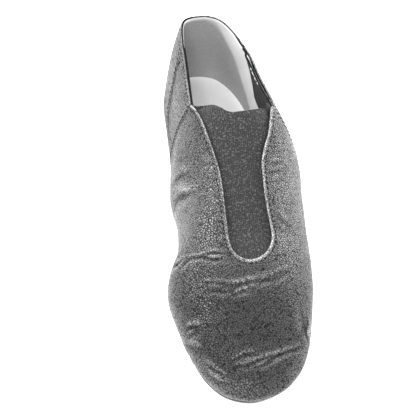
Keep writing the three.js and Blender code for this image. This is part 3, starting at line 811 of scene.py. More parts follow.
@dataclass(frozen=True)
class Leather:
    """Soft black full-grain leather."""

    name: str
    grain: bpy.types.NodeTree
    base: float = 0.007
    # tone of wear and of the painted highlights on folds, edges and crease crests
    worn: float = 0.34
    gloss: float = 0.75
    roughness: float = 0.31
    pebble: float = 860.0
    bump: float = 1.0
    valley_shade: float = 0.84
    # where along or up the shoe the polish changes, in metres, and the shares of the gloss before and after
    instep: Sequence[float] = (-0.082, -0.022, 0.52, 1.36)
    behind: Sequence[float] = (-0.012, 0.03, 1.0, 0.44)
    low_edge: Sequence[float] = (0.012, 0.026, 3.4, 1.0)

    def make(self) -> bpy.types.Material:
        """Builds the material: pebbles, painted shade in valleys, creases and seams, wear and painted
        highlight on folds and edges, and uneven polish.
        """
        material, bench, shader = new_material(self.name)
        grain = bench.add("ShaderNodeGroup", {"node_tree": self.grain}, Pebble=self.pebble, Depth=1.0)
        place = bench.place()
        cloud = bench.noise(place, 28.0, 4.0)
        # wear and painted highlight: paler where the piece's share says, broken up by the cloud
        wear_and_painted_highlight = bench.attribute("wear_and_painted_highlight")
        rub_and_highlight = bench.math("MULTIPLY", wear_and_painted_highlight, bench.ramp(cloud, 0.35, 0.65, 0.5, 1.0))
        cloudy = bench.ramp(cloud, 0.35, 0.7, 0.0, 1.0)
        tone = bench.mix(cloudy, grey(self.base * 0.8), grey(self.base * 1.35))
        tone = bench.mix(rub_and_highlight, tone, grey(self.worn))
        # painted shade: the valleys between the pebbles darkened
        painted_valley_shade = bench.math("MULTIPLY", grain.outputs["Valley"], 0.9)
        tone = bench.mix(painted_valley_shade, tone, grey(self.base * 0.12))
        # painted shade: crease troughs, seam edges, fold insides, the overlay's edge and stitch holes made
        # darker, rougher and duller
        mark = bench.attribute("mark")
        tone = bench.mix(mark, tone, grey(0.001))
        polish = bench.ramp(cloud, 0.3, 0.75, self.roughness - 0.05, self.roughness + 0.08)
        rough = bench.math("ADD", polish, bench.math("MULTIPLY", grain.outputs["Valley"], 0.35))
        rough = bench.math("ADD", rough, bench.math("MULTIPLY", mark, 0.5))
        bench.bump(shader, grain.outputs["Height"], self.bump)
        shade = bench.math("MULTIPLY", grain.outputs["Valley"], self.valley_shade)
        open_to_light = bench.math("SUBTRACT", 1.0, shade)
        open_to_light = bench.math("MULTIPLY", open_to_light, bench.math("SUBTRACT", 1.0, mark))
        _, along, up = bench.add("ShaderNodeSeparateXYZ", {}, Vector=place).outputs
        start, end, before, after = self.instep
        instep = bench.ramp(along, start, end, self.gloss * before, self.gloss * after)
        behind = bench.ramp(along, *self.behind)
        low_edge = bench.ramp(up, *self.low_edge)
        polish_here = bench.math("MULTIPLY", bench.math("MULTIPLY", instep, behind), low_edge)
        gloss = bench.math("MULTIPLY", open_to_light, polish_here)
        bench.feed(shader, Base_Color=tone, Roughness=rough, Specular_IOR_Level=gloss)
        return material


@dataclass(frozen=True)
class Elastic:
    """Woven elastic."""

    name: str
    weave: bpy.types.NodeTree
    base: float = 0.0105
    gloss: float = 0.22

    def make(self) -> bpy.types.Material:
        """Builds the material: ribs, painted shade in the gaps, pale specks of worn thread, and painted shade
        where the elastic lies under the leather.
        """
        material, bench, shader = new_material(self.name)
        weave = bench.add("ShaderNodeGroup", {"node_tree": self.weave})
        place = bench.place()
        speck = bench.noise(place, 1100.0, 3.0)
        # painted shade in the gaps between the ribs
        tone = bench.mix(weave.outputs["Gap"], grey(self.base * 1.5), grey(self.base * 0.45))
        tone = bench.mix(bench.ramp(speck, 0.5, 0.68, 0.0, 0.75), tone, grey(self.base * 6.5))
        # painted shade where the elastic lies tucked under the leather: darker and less glossy
        mark = bench.attribute("mark")
        shade = bench.math("MULTIPLY", mark, 0.8)
        tone = bench.mix(shade, tone, grey(self.base * 0.3))
        gloss = bench.math("MULTIPLY", bench.math("SUBTRACT", 1.0, shade), self.gloss)
        bench.feed(shader, Base_Color=tone, Specular_IOR_Level=gloss, Roughness=0.85)
        bench.feed(shader, Sheen_Weight=0.04, Sheen_Roughness=0.5)
        bench.bump(shader, weave.outputs["Height"], 0.6)
        return material


@dataclass(frozen=True)
class Lining:
    """Soft lining of the inside, with a darker pocket at the heel where the attribute "mark" says so."""

    name: str
    pale: float = 0.5
    dark: float = 0.24
    nap: float = 1400.0
    rough: float = 0.8

    def make(self) -> bpy.types.Material:
        """Builds the material: nap, faint soiling and the pocket's own tone."""
        material, bench, shader = new_material(self.name)
        place = bench.place()
        nap = bench.noise(place, self.nap, 3.0)
        cloud = bench.noise(place, 45.0, 4.0)
        mark = bench.attribute("mark")
        wear_and_painted_highlight = bench.attribute("wear_and_painted_highlight")
        tone = bench.mix(mark, grey(self.pale), grey(self.dark))
        soil = bench.mix(bench.ramp(cloud, 0.35, 0.7, 0.0, 0.22), tone, grey(self.dark * 0.8))
        soil = bench.mix(bench.math("MULTIPLY", wear_and_painted_highlight, 0.5), soil, grey(self.dark * 0.7))
        soil = bench.mix(bench.ramp(nap, 0.35, 0.75, 0.0, 0.15), soil, grey(min(self.pale * 1.4, 0.9)))
        bench.feed(shader, Base_Color=soil, Roughness=self.rough)
        bench.bump(shader, nap, 0.35)
        return material


@dataclass(frozen=True)
class Plain:
    """A finish with fine noise in its tone and relief: thread, rubber or floor."""

    name: str
    tone: float
    roughness: float
    scale: float = 600.0
    spread: float = 0.3
    bump: float = 0.3
    gloss: float = 0.5

    def make(self) -> bpy.types.Material:
        """Builds the material."""
        material, bench, shader = new_material(self.name)
        place = bench.place()
        cloud = bench.noise(place, self.scale, 4.0)
        low, high = grey(self.tone * (1 - self.spread)), grey(self.tone * (1 + self.spread))
        tone = bench.mix(bench.ramp(cloud, 0.3, 0.7, 0.0, 1.0), low, high)
        rough = bench.ramp(cloud, 0.3, 0.7, self.roughness - 0.06, min(self.roughness + 0.06, 1.0))
        bench.feed(shader, Base_Color=tone, Roughness=rough, Specular_IOR_Level=self.gloss)
        if self.bump:
            bench.bump(shader, cloud, self.bump)
        return material


@dataclass
class Finishes:
    """Every finish of the shoe."""

    def __post_init__(self) -> None:
        """Builds the shared groups and the materials."""
        grain = grain_group()
        weave = weave_group()
        self.leather = Leather("black_leather", grain).make()
        self.elastic = Elastic("black_elastic", weave).make()
        self.lining = Lining("lining_cloth").make()
        self.sock = Lining("sock_cloth", pale=0.7, dark=0.5, nap=900.0).make()
        self.thread = Plain("black_thread", 0.004, 0.9, 4000.0, gloss=0.1).make()
        self.pale_thread = Plain("pale_thread", 0.5, 0.7, 4000.0).make()
        self.rubber = Plain("sole_rubber", 0.012, 0.66, 900.0, gloss=0.3).make()


@dataclass
class FoldRows:
    """The rows of a folded leather edge: up the outside, round the fold, and a little way down inside."""

    main: int = 120
    arc: int = 6
    inside: int = 5
    radius: float = 0.8
    hold: float = 8.0

    @property
    def last_row(self) -> int:
        """Number of rows less one."""
        return self.main + self.arc + self.inside

    def at(self, column: Column, row: int) -> tuple[float, float]:
        """Share of the column and distance under the outer surface at a row."""
        crown = column.below(self.radius)
        if row <= self.main:
            return row / self.main * crown, 0.0
        if row <= self.main + self.arc:
            angle = (row - self.main) / self.arc * math.pi
            return column.below(self.radius * (1 - math.sin(angle))), self.radius * (1 - math.cos(angle))
        part = (row - self.main - self.arc) / self.inside
        return column.below(self.radius + part * self.hold), 2 * self.radius


@dataclass
class Vamp:
    """The front of the upper, from seam to seam round the toe."""

    last: Last
    finishes: Finishes
    columns_per_side: int = 150
    rim: Sequence[float] = (0.0, 0.08, 0.22, 0.45, 0.75, 1.4)
    step: float = 0.7
    rows: FoldRows = field(default_factory=FoldRows)
    # how strongly the creases rise, and the height and spacing of the leather's unevenness
    crease_gain: float = 1.35
    swells: Pairs = ((0.45, 17.0), (0.16, 5.0))
    creases: Sequence[Crease] = (
        Crease(((0.306, -25), (0.305, -22.6), (0.302, -17.0), (0.294, -10.6), (0.282, -5.0)), 0.5, 0.8),
        Crease(
            ((0.323, -34), (0.312, -28.7), (0.301, -23.1), (0.288, -17.5), (0.285, -12.2), (0.268, 1.5)),
            0.5,
            0.8,
        ),
        Crease(((0.306, -35), (0.308, -32.1), (0.309, -28)), 0.6, 0.9),
        Crease(((0.248, -26), (0.238, -18.5), (0.229, -12.8), (0.225, -8.3), (0.228, -4.8)), 0.45, 0.8),
        Crease(
            ((0.232, -12), (0.226, -8.3), (0.228, -3), (0.231, 1.5), (0.236, 6.5), (0.244, 11)),
            0.5,
            0.75,
        ),
        Crease(
            ((0.242, -28), (0.224, -16.3), (0.22, -8), (0.224, -0.9), (0.229, 8), (0.244, 15.9), (0.26, 24)),
            0.56,
            0.85,
        ),
        Crease(((0.227, -25), (0.221, -19.1), (0.215, -14.7), (0.214, -10.7), (0.217, -5.5)), 0.5, 0.8),
        Crease(((0.204, -12), (0.208, -6.9), (0.211, -2.7), (0.214, 2.5)), 0.4, 0.8),
        Crease(((0.223, 7.5), (0.23, 13.2), (0.24, 17.9), (0.254, 24)), 0.45, 0.8),
        Crease(((0.074, -15.5), (0.081, -10.1), (0.083, -6.1), (0.079, -1)), 0.36, 0.7),
        Crease(
            ((0.063, -14), (0.061, -8.2), (0.07, 0.1), (0.077, 9.2), (0.09, 18.9), (0.103, 24.5)),
            0.42,
            0.75,
        ),
        Crease(((0.055, -5.5), (0.06, 1.0), (0.066, 4.6), (0.077, 10)), 0.34, 0.7),
        Crease(((0.148, -36), (0.132, -33.4), (0.116, -30.8)), 0.4, 1.0),
        Crease(((0.173, -36), (0.169, -32.4), (0.16, -29)), 0.65, 1.1),
        Crease(((0.16, -36), (0.155, -32.8), (0.156, -29)), 0.5, 1.1),
        Crease(((0.10, -32), (0.08, -29.0), (0.06, -26.1), (0.041, -22.3), (0.03, -15.5)), 0.36, 0.75),
        Crease(((0.10, -30.2), (0.079, -26.8), (0.064, -23.5), (0.046, -19)), 0.3, 0.75),
        Crease(((0.10, -34), (0.072, -29.6), (0.046, -25.2)), 0.3, 0.75),
        Crease(((0.178, 29), (0.151, 29.1), (0.134, 26.8), (0.112, 28.6)), 0.5, 0.9),
        Crease(((0.185, 26), (0.152, 26.6), (0.12, 24.4)), 0.3, 1.3),
        Crease(((0.332, -37), (0.322, -35), (0.318, -32)), 0.7, 0.9),
        Crease(((0.512, -32), (0.487, -28.5), (0.469, -26.1), (0.452, -21.5)), 0.5, 0.9),
        Crease(((0.538, -31), (0.516, -27.5), (0.50, -24)), 0.35, 0.9),
        Crease(((0.489, -18), (0.482, -13.5), (0.475, -10.5)), 0.35, 0.8),
        Crease(((0.459, 15.5), (0.469, 20.7), (0.479, 27)), 0.35, 0.9),
        Crease(((0.441, 14.5), (0.455, 21.8), (0.466, 28)), 0.35, 0.9),
        Crease(((0.425, 14), (0.437, 21), (0.446, 27)), 0.25, 0.9),
        Crease(((0.375, 16), (0.36, 23), (0.352, 29)), 0.25, 1.1),
    )

    def relief(self, point: Vector) -> tuple[float, float]:
        """How far the leather stands off the form at a point, from its creases and from its unevenness."""
        x, y = point.x - self.last.axis_x, point.y + LENGTH / 2
        folds = sum(crease.depth_at(x, y) for crease in self.creases)
        swell = sum(height * noise.noise(point / spacing) for height, spacing in self.swells)
        return self.crease_gain * folds, swell

    def build(self) -> list[bpy.types.Object]:
        """Makes the vamp."""
        columns = round_toe(lambda side: vamp_columns(self.last, side, self.columns_per_side, self.rim))

        def spot(i: int, row: int) -> Spot:
            column = columns[i]
            share, under = self.rows.at(column, row)
            walk, turn = column.at(share)
            point = self.last.form(walk, turn)
            left = 1 - clamp(column.seam_distance / self.rim[-2], 0, 1)
            drop = self.step * (1 - math.sqrt(1 - left * left)) + (0.1 if left == 1 else 0.0)
            below = (1 - share) * column.heights[-1]
            calm = ease(column.seam_distance, 1, 14) * ease(below, 0.5, 5)
            calm *= ease(math.degrees(turn), -55, -20)
            fold, swell = (part * calm if under == 0 else 0.0 for part in self.relief(point))
            # wear and painted highlight: paler along the folded top edge and on the crests of the creases
            wear_and_painted_highlight = clamp(bell(below, 0, 0.5) + max(fold, 0) * 1.4, 0, 1)
            # painted shade: darker in the troughs of the creases and along the seam edge
            trough = clamp(-fold * 0.9 - 0.06, 0, 0.65)
            seam_shade = 0.95 * bell(column.seam_distance, 0.4, 0.5)
            trough = max(trough, seam_shade * ease(math.degrees(turn), -70, -40))
            return Spot(point + self.last.normal(walk, turn) * (fold + swell - under - drop), wear_and_painted_highlight, trough)

        piece = make_piece("vamp_leather", len(columns) - 1, self.rows.last_row, spot)
        return [settle(piece, self.finishes.leather, "upper", "upper")]


@dataclass
class Quarters:
    """The back of the upper, from seam to seam round the heel, with the overlay on its heel."""

    last: Last
    finishes: Finishes
    columns_per_side: int = 95
    set_back: float = 0.7
    under_vamp: float = 3.0
    seam_rim: Sequence[float] = (1.6, 1.1, 0.7, 0.3, 0.0)
    rows: FoldRows = field(default_factory=lambda: FoldRows(main=90, radius=0.7))
    # at and place across of two stitch holes
    holes: Pairs = ((0.811, -19.9), (0.772, -19.2))
    # height and spacing of the leather's unevenness
    swell: tuple[float, float] = (0.3, 19.0)
    overlay_rise: float = 0.5
    overlay_margin: float = 1.5
    seam_gap: float = 0.7
    edge_round: float = 0.7
    rim_step: float = 1.2
    heel_steps: int = 36
    # at, height of the overlay's upper edge as a share of the collar's height
    overlay_edge: Pairs = (
        (0.5, 0.47),
        (0.66, 0.47),
        (0.74, 0.4),
        (0.775, 0.48),
        (0.8, 0.8),
        (0.85, 1.08),
        (1.0, 1.2),
    )

    def build(self) -> list[bpy.types.Object]:
        """Makes the quarters and the overlay."""
        return [self._quarters(), self._overlay()]

    def _quarters(self) -> bpy.types.Object:
        """The quarters, tucked a little way under the vamp."""

        def half(side: Side) -> list[Column]:
            columns = quarter_columns(self.last, side, self.columns_per_side, self.seam_rim[0])[:-1]
            seam, ear = self.last.seam_walks[side], self.last.ear_walks[side]
            for distance in (*self.seam_rim, -self.under_vamp):
                step = self.last.walk_over(distance) * side.value
                columns.append(Column(self.last, seam + step, ear + step, distance))
            return columns

        columns = round_heel(half)
        distances = [column.seam_distance for column in columns]

        def spot(i: int, row: int) -> Spot:
            column = columns[i]
            share, under = self.rows.at(column, row)
            walk, turn = column.at(share)
            point = self.last.form(walk, turn)
            back = self.set_back * ease(math.degrees(turn), -70, -20)
            below = (1 - share) * column.heights[-1]
            calm = ease(math.degrees(turn), -50, -10) * ease(below, 0.5, 6)
            swell = self._unevenness(point) * calm if under == 0 else 0.0
            past = row - self.rows.main - lerp(0.5, 3.5, ease(point.x, -14, -4))
            past_fold = ease(past, 0, 2)
            # wear and painted highlight along the folded collar edge, ending past the fold
            edge = 0.6 * bell(below, 0, 1.0) * (1 - past_fold)
            # near the seam: painted shade, and a groove sunk into the leather
            near = clamp(1 - distances[i] / 1.5, 0, 1)
            groove = 0.5 * near * ease(math.degrees(turn), -70, -30) * (1 if under == 0 else 0)
            offset = swell - back - under - groove
            # painted shade inside the fold, along the overlay's upper edge and in two stitch holes
            shade = 0.85 * past_fold
            if under == 0:
                shade = 0.9 * bell(self.above_overlay(point), 0, 0.7) * ease(distances[i], 0, 2)
                for at, x in self.holes:
                    away = math.hypot(point.x - self.last.axis_x - x, point.y - (at - 0.5) * LENGTH)
                    shade = max(shade, 0.9 * bell(away, 0, 0.8))
            # painted highlight: a paler band a little behind the side seam
            painted_highlight_band = 0.4 * bell(distances[i], 2.6, 1.2) * ease(math.degrees(turn), -20, 20)
            wear_and_painted_highlight = max(edge * (1 - near), painted_highlight_band if under == 0 else 0.0)
            return Spot(point + self.last.normal(walk, turn) * offset, wear_and_painted_highlight, max(near, shade))

        piece = make_piece("quarter_leather", len(columns) - 1, self.rows.last_row, spot)
        return settle(piece, self.finishes.leather, "upper")

    def _unevenness(self, point: Vector) -> float:
        """How far the leather stands off the form at a point."""
        height, spacing = self.swell
        return height * noise.noise(point / spacing)

    @cached_property
    def overlay_line(self) -> Smooth:
        """Height of the overlay's upper edge at a share of the length, as a share of the collar's height."""
        return Smooth(self.overlay_edge)

    def above_overlay(self, point: Vector) -> float:
        """About how far a point lies outside the overlay's upper edge, in millimetres."""
        at = point.y / LENGTH + 0.5
        height = self.last.collar_height
        slope = (self.overlay_line(at + 0.002) - self.overlay_line(at - 0.002)) * height / (0.004 * LENGTH)
        return (point.z - self.overlay_line(at) * height) / math.hypot(1, slope)

    def overlay_rim(self, side: Side, inset: float) -> list[tuple[float, float]]:
        """Walks and turns along the upper edge of the overlay, from its side seam to the back of the heel.

        Args:
            side: the side of the foot.
            inset: distance inside the overlay's edge, in millimetres.

        Returns:
            Pairs of a walk and a turn, about evenly spaced.
        """
        last = self.last
        line = self.overlay_line
        seam = Column(last, last.seam_walks[side], last.ear_walks[side])
        start = 0.9
        seam_steps = 199
        for i in range(seam_steps + 1):
            walk, turn = seam.at(i / seam_steps)
            point = last.form(walk, turn)
            if point.z > line(point.y / LENGTH + 0.5) * last.collar_height:
                start = point.y / LENGTH + 0.5
                break
        samples = []
        steps = 400
        for i in range(steps + 1):
            at = lerp(start, last.back_pivot, i / steps)
            height = line(at) * last.collar_height
            collar = last.collar_line[side](at) * last.collar_height - self.overlay_margin
            samples.append((at, min(height, collar)))
        done = [0.0]
        for (at, height), (next_at, next_height) in zip(samples, samples[1:]):
            done.append(done[-1] + math.hypot((next_at - at) * LENGTH, next_height - height))
        count = int(done[-1] / self.rim_step)
        rim = []
        for i in range(count):
            reached = i / count * done[-1]
            at = between(done, [sample[0] for sample in samples], reached)
            height = between(done, [sample[1] for sample in samples], reached) - inset
            walk = last.walk_at(side, at)
            rib = last.rib(walk)
            rim.append((walk, reach(lambda turn: last.on(rib, turn).z, height, 0.02, QUARTER_TURN)))
        ends = (1.0, 0.0) if side is Side.INNER else (5.0, 6.0)
        for i in range(self.heel_steps + 1):
            walk = lerp(*ends, i / self.heel_steps)
            rib = last.rib(walk)
            height = last.collar_line[side](rib.at) * last.collar_height - self.overlay_margin - inset
            rim.append((walk, reach(lambda turn: last.on(rib, turn).z, height, 0.02, QUARTER_TURN)))
        return rim

    def _overlay(self) -> bpy.types.Object:
        """The overlay round the heel, with rounded edges that go down to the quarters."""
        last = self.last
        lines = []
        for side in Side:
            rim = self.overlay_rim(side, 0.0)
            gap = side.value * last.walk_over(self.seam_gap)
            seam, ear = last.seam_walks[side] + gap, last.ear_walks[side] + gap
            back = 0.0 if side is Side.INNER else FULL_WALK
            full = Column(last, seam, ear)
            first = (rim[0][1] + FEATHER_TURN) / (full.top + FEATHER_TURN)
            rim[0] = (lerp(seam, ear, first**3), rim[0][1])
            count = len(rim) - 1
            feet = [lerp(seam, back, i / count) for i in range(count + 1)]
            lines.append([(foot, *top, i * self.rim_step) for i, (foot, top) in enumerate(zip(feet, rim))])
        columns = [*lines[1], *lines[0][-2::-1]]
        rows, rim_rows = 64, 5

        def spot(i: int, row: int) -> Spot:
            foot_walk, top_walk, top_turn, from_seam = columns[i]
            length = (top_turn + FEATHER_TURN) * 32
            if row >= rows - rim_rows:
                left = (row - rows + rim_rows) / rim_rows
                share = 1 - (1 - left) ** 2 * self.edge_round / length
            else:
                left = 0.0
                share = row / (rows - rim_rows) * (1 - self.edge_round / length)
            left = max(left, 1 - from_seam / self.rim_step)
            turn = lerp(-FEATHER_TURN, top_turn, share)
            walk = lerp(foot_walk, top_walk, share**3)
            point = last.form(walk, turn)
            back = self.set_back * ease(math.degrees(turn), -70, -20)
            lift = self.overlay_rise * ease(math.degrees(turn), -70, -40)
            down = (1 - math.sqrt(max(1 - left * left, 0))) * (lift + 0.15)
            calm = ease(math.degrees(turn), -50, -10) * ease((1 - share) * length, 0, 5)
            swell = self._unevenness(point) * calm
            # wear and painted highlight: paler on the rounded edges
            return Spot(point + last.normal(walk, turn) * (swell + lift - back - down), 0.55 * left)

        piece = make_piece("heel_overlay", len(columns) - 1, rows, spot)
        return settle(piece, self.finishes.leather, "heel_counter", "heel_counter")


@dataclass
class Inside:
    """Lining and sock."""

    last: Last
    finishes: Finishes
    under: float = 2.3
    columns_per_side: int = 60
    rows: int = 60
    sock_lift: float = 4.5
    rim_below: float = 0.7
    ahead_below: float = 3.0
    behind_wing: float = 2.2
    # height and width of the sock's turned-up edge; depth of its bed, and from where to where inside the edge
    sock_edge: tuple[float, float] = (0.9, 2.5)
    sock_bed: tuple[float, float, float] = (0.5, 4.0, 22.0)
    # the heel pocket: place of its edge on the inner side, where across it reaches that, and its top
    pocket_inner: float = 0.935
    pocket_across: tuple[float, float] = (4.0, -6.0)
    pocket_top: tuple[float, float] = (67.5, 65.5)
    # height and place of the edge of the heel pocket on the outer side
    pocket: Pairs = (
        (12.0, 0.8),
        (21.0, 0.822),
        (25.0, 0.851),
        (32.0, 0.889),
        (42.0, 0.922),
        (53.0, 0.953),
        (66.0, 0.97),
    )

    def build(self) -> list[bpy.types.Object]:
        """Makes the lining and the sock."""
        return [self._lining(), self._sock()]

    def _lining(self) -> bpy.types.Object:
        """The lining, up to just below the folded edge."""
        last = self.last

        def half(side: Side) -> list[Column]:
            backs = quarter_columns(last, side, self.columns_per_side)
            return backs + vamp_columns(last, side, self.columns_per_side, (1.0,))

        columns = round_toe(half)
        pocket_line = Smooth(self.pocket)

        def spot(i: int, row: int) -> Spot:
            column = columns[i]
            top = last.rib(column.top_walk)
            ahead = last.ear_walks[Side.INNER] < column.top_walk < last.ear_walks[Side.OUTER]
            rim = self.ahead_below if ahead else self.rim_below
            if top.side is Side.OUTER:
                wing = self.behind_wing * ease(top.at, 0.85, 0.835)
                rim = max(rim, 2.6 * ease(top.at, 0.95, 0.9) + wing)
            else:
                wing = self.behind_wing * ease(top.at, 0.83, 0.8)
                rim = max(rim, 2.4 * ease(top.at, 0.86, 0.8) + wing)
            share = row / self.rows * column.below(rim)
            walk, turn = column.at(share)
            place = last.skin(walk, turn, -self.under)
            at = place.y / LENGTH + 0.5
            line = lerp(pocket_line(place.z), self.pocket_inner, ease(place.x, *self.pocket_across))
            mark = ease(at, line - 0.008, line + 0.008) * ease(place.z, *self.pocket_top)
            return Spot(place, 0.0, mark)

        piece = make_piece("lining", len(columns) - 1, self.rows, spot, flip=True, weld=True)
        thicken(piece, 0.35)
        return settle(piece, self.finishes.lining, "insole")

    def _sock(self) -> bpy.types.Object:
        """The padded sock: nearly flat, and turned up a little along the walls."""
        last = self.last

        def half(side: Side) -> list[Column]:
            return quarter_columns(last, side, 30)[:-1] + vamp_columns(last, side, 40, (0.0,))

        walks = [column.foot_walk for column in round_toe(half)]
        rows = 26

        def edge(walk: float) -> Vector:
            rib = last.rib(walk)

            def above(turn: float) -> float:
                point = last.on(rib, turn)
                return point.z - last.sole_line(point.y + LENGTH / 2)

            return last.skin(walk, reach(above, self.sock_lift + 1.0, -FEATHER_TURN, 0.8), -self.under - 0.1)

        edges = [edge(walk) for walk in walks]

        def spot(i: int, row: int) -> Spot:
            rim = edges[i]
            foot = last.rib(walks[i]).foot
            share = (row / rows) ** 1.4
            x = lerp(rim.x, foot[0] + last.axis_x, share)
            y = lerp(rim.y, foot[1] - LENGTH / 2, share)
            inside = math.hypot(x - rim.x, y - rim.y)
            turned_up = self.sock_edge[0] * bell(inside, 0, self.sock_edge[1])
            lift = self.sock_lift + turned_up - self.sock_bed[0] * ease(inside, *self.sock_bed[1:])
            at = y / LENGTH + 0.5
            print_of_heel = bell(at, 0.83, 0.09) * bell(x, 0.5, 17)
            return Spot(Vector((x, y, last.sole_line(y + LENGTH / 2) + lift)), 0.18 * print_of_heel)

        piece = make_piece("sock", len(walks) - 1, rows, spot, weld=True, flip=True)
        return settle(piece, self.finishes.sock, "insole", "insole")


@dataclass
class Gore:
    """The elastic: a panel across the throat, and a wing along the inside of the collar on each side."""

    last: Last
    finishes: Finishes
    under: float = 2.8
    thickness: float = 1.0
    hold: float = 7.0
    tucked: float = 2.6
    wing_depth: float = 30.0
    wing_end: float = 0.89
    # at, half width that the elastic leaves open on the inner and outer side, as shares of the ball
    top_edge: Sequence[tuple[float, float, float]] = (
        (0.5668, 0.0, 0.0),
        (0.567, 0.035, 0.11),
        (0.568, 0.06, 0.165),
        (0.5695, 0.083, 0.215),
        (0.572, 0.105, 0.27),
        (0.577, 0.14, 0.355),
        (0.584, 0.19, 0.44),
        (0.591, 0.237, 0.52),
        (0.598, 0.29, 0.6),
        (0.606, 0.351, 0.68),
        (0.62, 0.44, 0.76),
    )
    # at, height of the wing as a share of its depth
    wing: Pairs = (
        (0.56, 0.23),
        (0.615, 1.0),
        (0.767, 1.0),
        (0.791, 0.9),
        (0.823, 0.8),
        (0.835, 0.5),
        (0.856, 0.15),
        (0.88, 0.06),
    )

    def build(self) -> list[bpy.types.Object]:
        """Makes the panel and the wings as one woven piece."""
        last = self.last
        top = by_side(self.top_edge)
        depth = Smooth(self.wing)
        near_ear = [0.4 + 0.5 * i for i in range(44)]
        vamps = {side: vamp_columns(last, side, 60, near_ear) for side in Side}
        middles = []
        for a, b in zip(vamps[Side.INNER], vamps[Side.OUTER]):
            shares = [last.rib(column.top_walk).at for column in (a, b)]
            middles.append(max(sum(shares) / 2, last.front_pivot))

        def half(side: Side) -> list[tuple[Column, float | None]]:
            backs = [(back, None) for back in quarter_columns(last, side, 70) if self._ahead(back)]
            return [*backs, *zip(vamps[side], middles)]

        strip = round_toe(half)
        hold_rows, span_rows = 18, 34

        def spot(i: int, row: int) -> Spot:
            column, crossing = strip[i]
            deep = depth(last.rib(column.top_walk).at) * self.wing_depth
            low = column.below(max(deep, self.hold if crossing else 0.5))
            if crossing is None:
                walk, turn = column.at(lerp(low, column.below(self.tucked), row / (hold_rows + span_rows)))
                # painted shade: the wing, inside the collar, is darkened throughout
                return Spot(last.skin(walk, turn, -self.under), 0.0, 1.0)
            rib = last.rib(column.top_walk)
            along_fan = rib.fan and crossing == last.front_pivot
            spine_walk = column.top_walk if along_fan else last.walk_at(rib.side, crossing)
            end = max(last.turn_at_span(spine_walk, top[rib.side](crossing) * last.ball), column.top)
            high = column.below(self.tucked * (1 - ease(end - column.top, 0.0, 0.25)))
            if row <= hold_rows:
                walk, turn = column.at(lerp(low, high, row / hold_rows))
            else:
                part = (row - hold_rows) / span_rows
                start_walk, start = column.at(high)
                walk, turn = lerp(start_walk, spine_walk, part), lerp(start, max(end, start), part)
            # painted shade where the elastic barely reaches past the leather's edge
            return Spot(last.skin(walk, turn, -self.under), 0.0, 1 - ease(end - column.top, 0.0, 0.12))

        piece = make_piece("front_elastic", len(strip) - 1, hold_rows + span_rows, spot, weld=True)
        thicken(piece, self.thickness)
        return [settle(piece, self.finishes.elastic, "front_gore", "front_gore")]

    def _ahead(self, column: Column) -> bool:
        """True for a column that the wing reaches."""
        return self.last.rib(column.top_walk).edge[1] <= self.wing_end * LENGTH


@dataclass
class Sole:
    """Outsole and heel block."""

    last: Last
    finishes: Finishes
    inset: float = 4.0
    bevel: float = 1.0
    # distance inside the sole's edge, depth as a share of the sole's thickness
    profile: Pairs = ((0.0, 0.0), (0.0, 0.35), (0.12, 0.6), (0.4, 0.82), (0.75, 0.96), (1.2, 1.0), (2.0, 1.0))
    heel_breast: float = 0.76
    breast_hollow: float = 4.0
    # how the heel block narrows to its foot, and the place along the shoe that it narrows to, in metres
    taper: tuple[float, float] = (0.95, 0.96)
    taper_centre: float = 0.095

    def build(self) -> list[bpy.types.Object]:
        """Makes the outsole and the heel block."""
        return [self._outsole(), self._heel()]

    def _outsole(self) -> bpy.types.Object:
        """The outsole: top, rounded edge and tread as one closed skin."""
        last = self.last
        count = 240
        profile = [(inset, -last.gap - deep * last.sole_thickness) for inset, deep in self.profile]
        fill = 9

        def spot(i: int, row: int) -> Spot:
            rib = last.rib(i / count * FULL_WALK)
            if row < fill:
                share, lift = (1 - row / fill), profile[0][1]
                inside = self.inset + share * (rib.span - self.inset)
            elif row < fill + len(profile):
                inset, lift = profile[row - fill]
                inside = self.inset + inset
            else:
                inset, lift = profile[-1]
                share = (row - fill - len(profile) + 1) / fill
                inside = lerp(self.inset + inset, rib.span, share)
            share = inside / rib.span
            x, y = lerp(rib.edge[0], rib.foot[0], share), lerp(rib.edge[1], rib.foot[1], share)
            return Spot(Vector((x + last.axis_x, y - LENGTH / 2, last.sole_line(y) + lift)))

        piece = make_piece("outsole_rubber", count, fill * 2 + len(profile) - 1, spot, weld=True, flip=True)
        return settle(piece, self.finishes.rubber, "outsole", "outsole")

    def _heel(self) -> bpy.types.Object:
        """The heel block, extruded down from its outline."""
        last = self.last
        inset = self.inset + self.bevel
        span = last.walk_at(Side.INNER, self.heel_breast)
        ring = []
        for i in range(81):
            rib = last.rib(lerp(span, -span, i / 80))
            share = inset / rib.span
            ring.append((lerp(rib.edge[0], rib.foot[0], share), lerp(rib.edge[1], rib.foot[1], share)))
        first, final = ring[0], ring[-1]
        for i in range(1, 20):
            x = lerp(final[0], first[0], i / 20)
            y = lerp(final[1], first[1], i / 20) + self.breast_hollow * math.sin(math.pi * i / 20)
            ring.append((x, y))
        bm = bmesh.new()
        top = (last.heel_height - last.gap) * MM
        corners = [bm.verts.new(((x + last.axis_x) * MM, (y - LENGTH / 2) * MM, top)) for x, y in ring]
        face = bm.faces.new(corners)
        lower = bmesh.ops.extrude_face_region(bm, geom=[face])["geom"]
        moved = [item for item in lower if isinstance(item, bmesh.types.BMVert)]
        bmesh.ops.translate(bm, verts=moved, vec=(0, 0, -top))
        centre = Vector((last.axis_x * MM, self.taper_centre, 0))
        bmesh.ops.scale(bm, verts=moved, vec=(*self.taper, 1), space=Matrix.Translation(-centre))
        bmesh.ops.recalc_face_normals(bm, faces=bm.faces)
        rims = [edge for edge in bm.edges if edge.calc_face_angle(0.0) > 0.9]
        round_off = {"segments": 3, "profile": 0.5, "affect": "EDGES", "material": -1, "clamp_overlap": True}
        bmesh.ops.bevel(bm, geom=rims, offset=0.5 * MM, **round_off)
        return settle(to_object("heel_block", bm, smooth=False), self.finishes.rubber, "heel", "heel")


